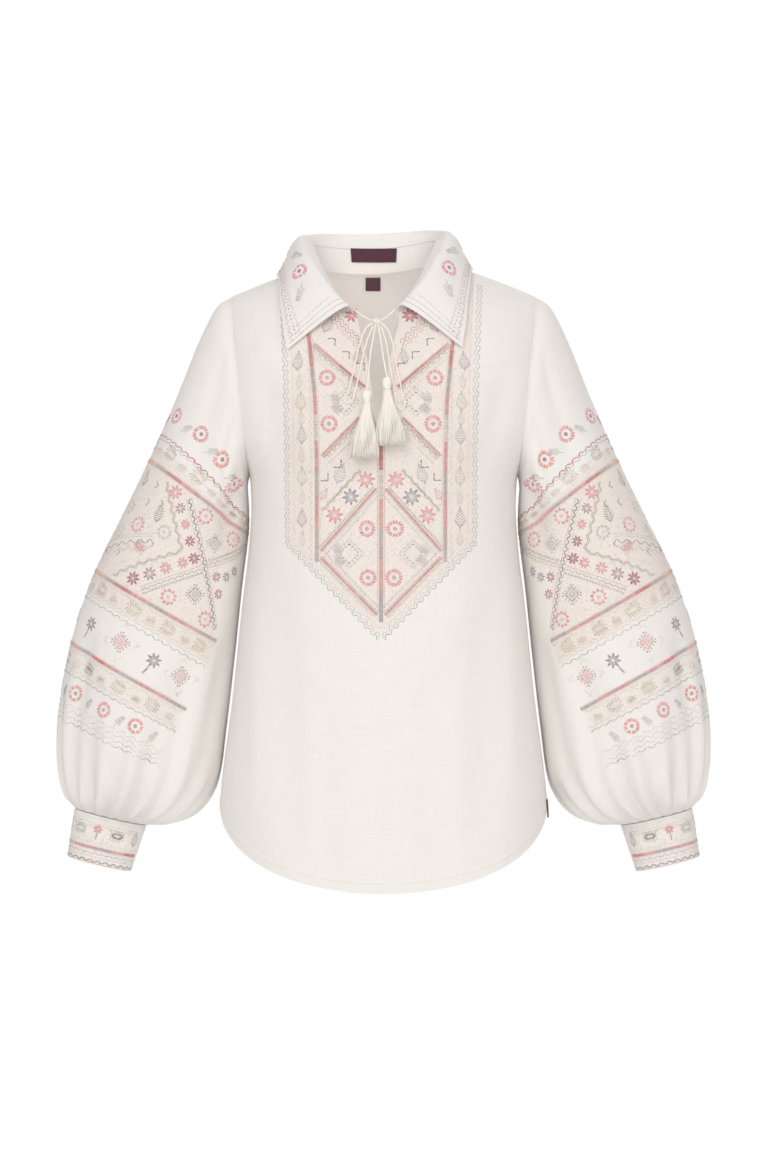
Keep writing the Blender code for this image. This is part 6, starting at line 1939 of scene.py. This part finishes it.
def sew_sleeve(patch, perimeter):
    """The left sleeve's bands, both halves alike about its outer line, out to the panel's own edges."""
    work = Work(patch, 23)
    half = np.interp((0.2, 0.33), np.linspace(0, 1, len(perimeter)), perimeter) / 2

    def row(share, drop, reach):
        return [(1 - share + drop * reach, -reach), (1 - share, 0.0), (1 - share + drop * reach, reach)]

    top_reach = float(half.min()) - 0.006
    work.zigzag(row(0.287, 0.20, top_reach), 0.0052, 0.0016, 0.0017, "crimson")
    work.zigzag(row(0.293, 0.20, top_reach), 0.0052, 0.0016, 0.0009, "grey")
    work.running(row(0.306, 0.14, top_reach), 0.0038, 0.0008, "sand")
    for share, reach in ((0.329, top_reach), (0.562, 0.206), (0.691, 0.196)):
        drop = 0.10 if share < 0.4 else 0.0
        tones = ("bar_red", "bar_rose", "bar_mauve", "bar_rose", "bar_coral", "bar_grey") * 3
        ends = tuple((index + 1) / len(tones) for index in range(len(tones)))
        work.satin(row(share, drop, reach), 0.0022, tones, ends, "dusty")
    for share, places, reach in ((0.302, SLEEVE_LEAVES, 0.0), (0.584, SLEEVE_LOW_LEAVES, 0.206),
                                 (0.712, SLEEVE_LEAVES, 0.192)):
        drop = 0.16 if share < 0.4 else 0.0
        for hand in (-1, 1):
            for away, tone in places:
                spot = [(1 - share + drop * away, hand * away)]
                if reach and away > reach - 0.010:
                    continue
                work.motif(leaf(), spot, 0.0118, (tone, "sand"), -hand * 0.10, 0.95 * -hand)
                spot = [(1 - share - 0.004 + drop * away, hand * (away + 0.023))]
                if not reach or away < reach - 0.030:
                    work.motif(leaf(), spot, 0.0078, ("sand", "dusty"), hand * 0.15, hand)
        if reach:
            for shift in (-0.013, 0.013, 0.019):
                work.wave(row(share + shift, drop, reach), 0.0100, 0.0010, 0.0008, "sand")
    work.zigzag(row(0.611, 0.0, 0.204), 0.0056, 0.0017, 0.0010, "grey")
    work.zigzag(row(0.732, 0.0, 0.190), 0.0052, 0.0015, 0.0009, "mauve")
    for share, tone, swing in ((0.780, "sand", 0.0026), (0.789, "silver", 0.0020), (0.798, "grey", 0.0018)):
        work.zigzag(row(share, 0.0, 0.178), 0.0060, swing, 0.0009, tone)
    work.wave(row(0.772, 0.0, 0.178), 0.0130, 0.0016, 0.0009, "sand")
    for hand in (-1, 1):
        for index, away in enumerate(SLEEVE_TOP_ROSETTES):
            if away or hand > 0:
                spot = [(1 - 0.262 + 0.45 * away, hand * away)]
                tones = (("rose", "pink", "charcoal"), ("coral", "rose", "charcoal"))[index % 2]
                work.motif(rosette(), spot, 0.0104, tones, 0.2)
        for away in SLEEVE_TOP_SPRIGS:
            spot = [(1 - 0.262 + 0.45 * away - 0.010, hand * away)]
            work.motif(sprig(), spot, 0.0088, ("grey", "silver"), -hand * 0.45)
        for index, away in enumerate((0.0, 0.050, 0.098, 0.139)):
            if away or hand > 0:
                tones = (("rose", "pink", "grey"), ("coral", "rose", "grey"))[index % 2]
                work.motif(rosette(), [(1 - 0.753, hand * away)], 0.0096, tones, 0.1)
        for away in (0.025, 0.074, 0.119, 0.161):
            work.motif(sprig(), [(1 - 0.758, hand * away)], 0.0085, ("grey", "silver"), -hand * 0.45)
        for away in (0.0, 0.050, 0.141):
            if away or hand > 0:
                work.motif(star_tree(), [(1 - 0.652, hand * away)], 0.0128, ("plum", "mauve"), -hand * 0.25)
        for away in (0.100, 0.179):
            spot = [(1 - 0.646, hand * away)]
            work.motif(square(), spot, 0.0098, ("rose", "coral", "grey"), -hand * 0.45)
            work.motif(frame_marks(), spot, 0.0175, ("sand",), -hand * 0.45)
        for share, away, tone, size in SLEEVE_STARS:
            inner = "plum" if tone == "crimson" else "pink"
            work.motif(star(), [(1 - share, hand * away)], size, (tone, inner), 0.3)
        for share, away in SLEEVE_WREATHS:
            work.motif(open_rosette(), [(1 - share, hand * away)], 0.0098, ("rose", "pink"))
        for share, away, size in SLEEVE_SQUARES:
            work.motif(square(), [(1 - share, hand * away)], size, ("grey", "silver", "mauve"), -hand * 0.35)
        for share, away, tone in SLEEVE_SMALL_STARS:
            work.motif(star(), [(1 - share, hand * away)], 0.0062, (tone, "silver"), 0.2)
        for share, away in ((0.418, 0.030), (0.470, 0.030), (0.425, 0.093)):
            work.motif(open_rosette(), [(1 - share, hand * away)], 0.0088, ("silver", "sand"))
        work.motif(tree(), [(1 - 0.355, hand * 0.034)], 0.0110, ("brown", "olive"), hand * 0.2)
        work.motif(tree(), [(1 - 0.396, hand * 0.078)], 0.0120, ("olive", "charcoal"), hand * 0.25)
        work.motif(leaf(), [(1 - 0.476, hand * 0.074)], 0.0105, ("mauve", "rose"), -hand * 0.3)
        for share, away in ((0.347, 0.058), (0.385, 0.055), (0.372, 0.074), (0.452, 0.083), (0.500, 0.046)):
            shape = corner_mark() * np.array([hand, 1, hand, 1, 1, 1])
            work.motif(shape, [(1 - share, hand * away)], 0.0062, ("charcoal",), -hand * 0.5)
        column = [(1 - 0.338, hand * 0.072), (1 - 0.440, hand * 0.1195), (1 - 0.550, hand * 0.058)]
        work.wave(column, 0.0120, 0.0015, 0.0013, "brown")
        work.wave(column, 0.0120, 0.0015, 0.0010, "olive", offset=hand * 0.0020)
        outer = [(1 - 0.336, hand * 0.106), (1 - 0.440, hand * 0.1490), (1 - 0.545, hand * 0.198)]
        work.running(outer, 0.0036, 0.0008, "brown", 0.1, offset=hand * 0.0030)
        work.zigzag(outer, 0.0038, 0.0017, 0.0014, "charcoal")
        work.running(outer, 0.0036, 0.0007, "mauve", 0.1, offset=-hand * 0.0030)
        lower = [(1 - 0.452, hand * 0.1490), (1 - 0.548, hand * 0.100)]
        upper = [(1 - 0.440, hand * 0.1510), (1 - 0.352, hand * 0.206)]
        for run in (lower, upper):
            work.zigzag(run, 0.0040, 0.0013, 0.0010, "grey")
            for offset in (-0.0036, 0.0034, 0.0048):
                work.running(run, 0.0036, 0.0009, "brown" if offset > 0.004 else "mauve", 0.1, offset)
        for shift in (0.0, 0.0062):
            run = [(1 - 0.507 - shift, hand * 0.006), (1 - 0.438 - shift, hand * 0.083)]
            work.running(run, 0.0040, 0.0009, "silver", 0.1)
        for start, end, reach, width, tone in ((0.521, 0.455, 0.083, 0.0009, "charcoal"),
                                               (0.532, 0.470, 0.085, 0.0007, "rose")):
            work.zigzag([(1 - start, hand * 0.012), (1 - end, hand * reach)], 0.0068, 0.0028, width, tone)

    def on_block(up, across):
        share, away = 1 - up, np.abs(across)
        return ((share > 0.30) & (share < 0.60) & (away < worked_reach(share))) | \
            ((share > 0.695) & (share < 0.73) & (away < 0.188))

    scatter(work, 0.26, 0.71, -0.22, 0.22, 4800, ("dusty", "blush", "silver", "sand"), on_block)
    return work


def worked_reach(share):
    """How far from the outer line the sleeve's worked ground goes at a share down it."""
    return np.interp(share, (0.28, 0.34, 0.44, 0.545, 0.56, 0.60, 0.69, 0.74),
                     (0.235, 0.215, 0.165, 0.198, 0.206, 0.205, 0.196, 0.190))


def sew_cuff(patch, perimeter):
    """The cuff: small trees and leaves over zigzag lines, a satin line, and a dark zigzag near its edge."""
    work = Work(patch, 31)
    reach = float(perimeter.min()) / 2 - 0.0025

    def row(share):
        return [(1 - share, -reach), (1 - share, 0.0), (1 - share, reach)]

    work.running(row(0.255), 0.0036, 0.0008, "silver")
    tones = (("plum", "mauve"), ("olive", "charcoal"), ("coral", "rose"), ("grey", "olive"))
    for index in range(9):
        away = (index - 4) * 0.0225
        kind = (tree(), leaf(), star_tree(), leaf())[index % 4]
        size = 0.0088 if index % 2 == 0 else 0.0104
        work.motif(kind, [(1 - 0.375, away)], size, tones[index % 4])
    work.wave(row(0.300), 0.0095, 0.0009, 0.0008, "sand")
    work.zigzag(row(0.545), 0.0040, 0.0013, 0.0009, "dusty")
    tones = ("bar_red", "bar_coral", "bar_grey", "bar_rose", "bar_rose", "bar_mauve") * 2
    work.satin(row(0.620), 0.0019, tones, tuple((index + 1) / 12 for index in range(12)), "dusty")
    work.zigzag(row(0.700), 0.0042, 0.0013, 0.0010, "mauve")
    work.running(row(0.752), 0.0034, 0.0008, "silver")
    work.zigzag(row(0.835), 0.0046, 0.0017, 0.0013, "charcoal")
    work.running(row(0.905), 0.0034, 0.0009, "rose")

    def anywhere(up, across):
        return up < 0.76

    scatter(work, 0.07, 0.76, -reach, reach, 700, ("dusty", "blush", "silver", "sand"), anywhere)
    return work


def sew_collar(grid):
    """The leaves: rosettes between sprigs, a dotted dark line, pink zigzags and fine lines in front."""
    points, normal = grid
    patch = Patch(points[3:][::-1], normal[3:][::-1], (-1.0, 0.0), (-1.0, 1.0))
    work = Work(patch, 41)
    for tone, share, swing in (("pink", 0.955, 0.0021), ("mauve", 0.918, 0.0019), ("pink", 0.800, 0.0015)):
        round_places = np.linspace(-0.985, 0.985, 41)
        work.zigzag([(-share, place) for place in round_places], 0.0044, swing, 0.0011, tone)
    found = work.stations([(-0.855, place) for place in np.linspace(-0.96, 0.96, 41)], 0.0048)
    up, across = found[:2]
    start = patch.local(up, across, np.full(len(up), -0.0009), np.zeros(len(up)))
    end = patch.local(up, across, np.full(len(up), 0.0009), np.zeros(len(up)))
    work.add(*start, *end, 0.0014, ["charcoal" if index % 3 else "olive" for index in range(len(up))], 1.2)
    flowers = (((-0.47, 0.752), (-0.42, 0.672), (-0.60, 0.818), 0.0118),
               ((-0.50, 0.440), (-0.50, 0.362), (-0.50, 0.518), 0.0112))
    for hand in (-1, 1):
        for centre, before, behind, size in flowers:
            work.motif(rosette(), [(centre[0], hand * centre[1])], 0.0108, ("rose", "coral", "charcoal"), 0.2)
            for place, turn in ((before, -0.9), (behind, -2.2)):
                work.motif(sprig(), [(place[0], hand * place[1])], size, ("grey", "olive"), hand * turn)
        for place, tone in ((0.978, "grey"), (0.955, "mauve")):
            line = [(share, hand * place) for share in (-0.97, -0.50, -0.08)]
            work.running(line, 0.0034, 0.0009, tone, 0.15)
        line = [(share, hand * 0.930) for share in (-0.97, -0.50, -0.25)]
        work.zigzag(line, 0.0040, 0.0010, 0.0008, "pink")
    return work


# Seams and topstitching

SEAM_STITCH = 0.0030


def seam_row(work, points, normal, tone="sand", width=0.00055):
    """Even stitches laid along a line of surface points."""
    length = np.concatenate([[0], np.cumsum(np.linalg.norm(np.diff(points, axis=0), axis=1))])
    count = max(int(length[-1] / SEAM_STITCH), 1)
    start = np.arange(count) * SEAM_STITCH
    ends = []
    for share in (0.0, 0.22, 0.6, 0.82):
        at = start + SEAM_STITCH * share
        found = np.stack([np.interp(at, length, points[:, i]) for i in range(3)], axis=-1)
        facing = np.stack([np.interp(at, length, normal[:, i]) for i in range(3)], axis=-1)
        ends.append((found, unit(facing)))
    work.append((ends, width, tone))


def seam_rows(front, back, yoke, sleeve, cuff, fall):
    """Stitch lines along the hems, the slit, the yoke's seams, the armholes, the cuffs and the collar."""
    rows = []
    hem_row = HEM_STEPS.index(10.6)
    for points, normal in (front, back):
        seam_row(rows, points[hem_row], normal[hem_row])
    points, normal = front
    for column in (HALF_COLUMNS - 2, HALF_COLUMNS + 3):
        above = points[:, column, 2] > SLIT_END_HEIGHT
        seam_row(rows, points[above, column], normal[above, column])
    points, normal = yoke
    for share in (0.35, 0.85):
        line = points[-1] * (1 - share) + points[-2] * share
        seam_row(rows, line, normal[-1])
    for mirror in (np.ones(3), MIRROR):
        for points, normal, row in ((*sleeve, 1), *((*cuff[:2], row) for row in (3, 4, -4))):
            ring, facing = (np.concatenate([grid[row], grid[row, :1]]) for grid in (points, normal))
            seam_row(rows, ring * mirror, facing * mirror)
    points, normal = fall
    seam_row(rows, points[-3], normal[-3])
    return rows


def make_seams(rows, thread):
    """All the seam stitches as closed spindles in one mesh."""
    every_vertex, every_colour = [], []
    for ends, width, tone in rows:
        along = unit(ends[3][0] - ends[0][0])
        corners = []
        for index, (point, facing) in enumerate(ends):
            side = unit(np.cross(facing, along)) * width / 2
            low = point - facing * 0.00012
            if index in (0, 3):
                corners.append(low)
            else:
                corners += [low - side, point + facing * 0.00030, low + side]
        vertices = np.stack(corners, axis=1)
        every_vertex.append(vertices)
        every_colour.append(np.tile(THREADS[tone], (len(vertices) * SPINDLE_POINTS, 1)))
    vertices = np.concatenate(every_vertex)
    every = spindle_faces(vertices)
    uv = np.tile(spindle_spots(0.2, 0.8), (len(vertices), 1))[every.ravel()]
    return new_object("seam_stitches", vertices.reshape(-1, 3), every, thread, uv=uv,
                      colour=np.concatenate(every_colour))


# Everything together

def main():
    """Cords first, then the cloth, the small parts and the stitching."""
    make_camera()
    cotton = make_cotton("cotton")
    routes = {"loop_left": LOOP_LEFT, "loop_right": LOOP_RIGHT, "end_left": END_LEFT, "end_right": END_RIGHT,
              "tie_left": TIE_LEFT, "tie_right": TIE_RIGHT}
    hung = {"end_left": "left", "end_right": "right"}
    cords = {name: make_cord(name + "_cord", name, route, cotton, hung.get(name))
             for name, route in routes.items()}
    tassels = {side: make_tassel(side, cotton) for side in ("left", "right")}
    knot = make_knot(cotton)
    linen = make_linen("linen", LINEN, LINEN_SLUB, LINEN_DEEP)
    worked = make_linen("worked_linen", LINEN, LINEN_SLUB, LINEN_DEEP)
    satin = make_label_cloth("label_satin")
    front, *front_shape = make_front(linen)
    back, *back_shape = make_back(linen)
    yoke, *yoke_shape = make_yoke(linen)
    stand = make_stand(linen)
    fall_shape = fall_grid()
    fall = make_fall(fall_shape, linen)
    sleeve_shape = sleeve_grid()
    cuff_shape = cuff_grid()
    sleeves = {side: make_sleeve(side, sleeve_shape, linen) for side in ("left", "right")}
    cuffs = {side: make_cuff(side, cuff_shape, worked) for side in ("left", "right")}
    labels = make_labels(satin)
    thread = make_thread("embroidery_thread", 0.5, 0.3)
    bib, on_cloth = sew_bib(view_patch())
    bib_piece = bib.make("bib_stitches", thread, keep=on_cloth)
    sleeve_patch, sleeve_perimeter = tube_patch(*sleeve_shape, SLEEVE_COLUMNS // 2, 0.285)
    sleeve_work = sew_sleeve(sleeve_patch, sleeve_perimeter)
    cuff_patch, cuff_perimeter = tube_patch(cuff_shape[0], cuff_shape[1], 0, 0.110)
    cuff_work = sew_cuff(cuff_patch, cuff_perimeter)
    sleeve_pieces, cuff_pieces = {}, {}
    for side in ("left", "right"):
        sleeve_pieces[side] = sleeve_work.make(f"sleeve_{side}_stitches", thread, mirror=side == "right")
        cuff_pieces[side] = cuff_work.make(f"cuff_{side}_stitches", thread, mirror=side == "right")
    collar_piece = sew_collar(fall_shape).make("collar_stitches", thread)
    make_light()
    make_floor()
    bpy.context.scene.view_settings.view_transform = "Standard"
    lines = seam_rows(front_shape, back_shape, yoke_shape, sleeve_shape, cuff_shape, fall_shape)
    stitched = make_seams(lines, thread)


main()
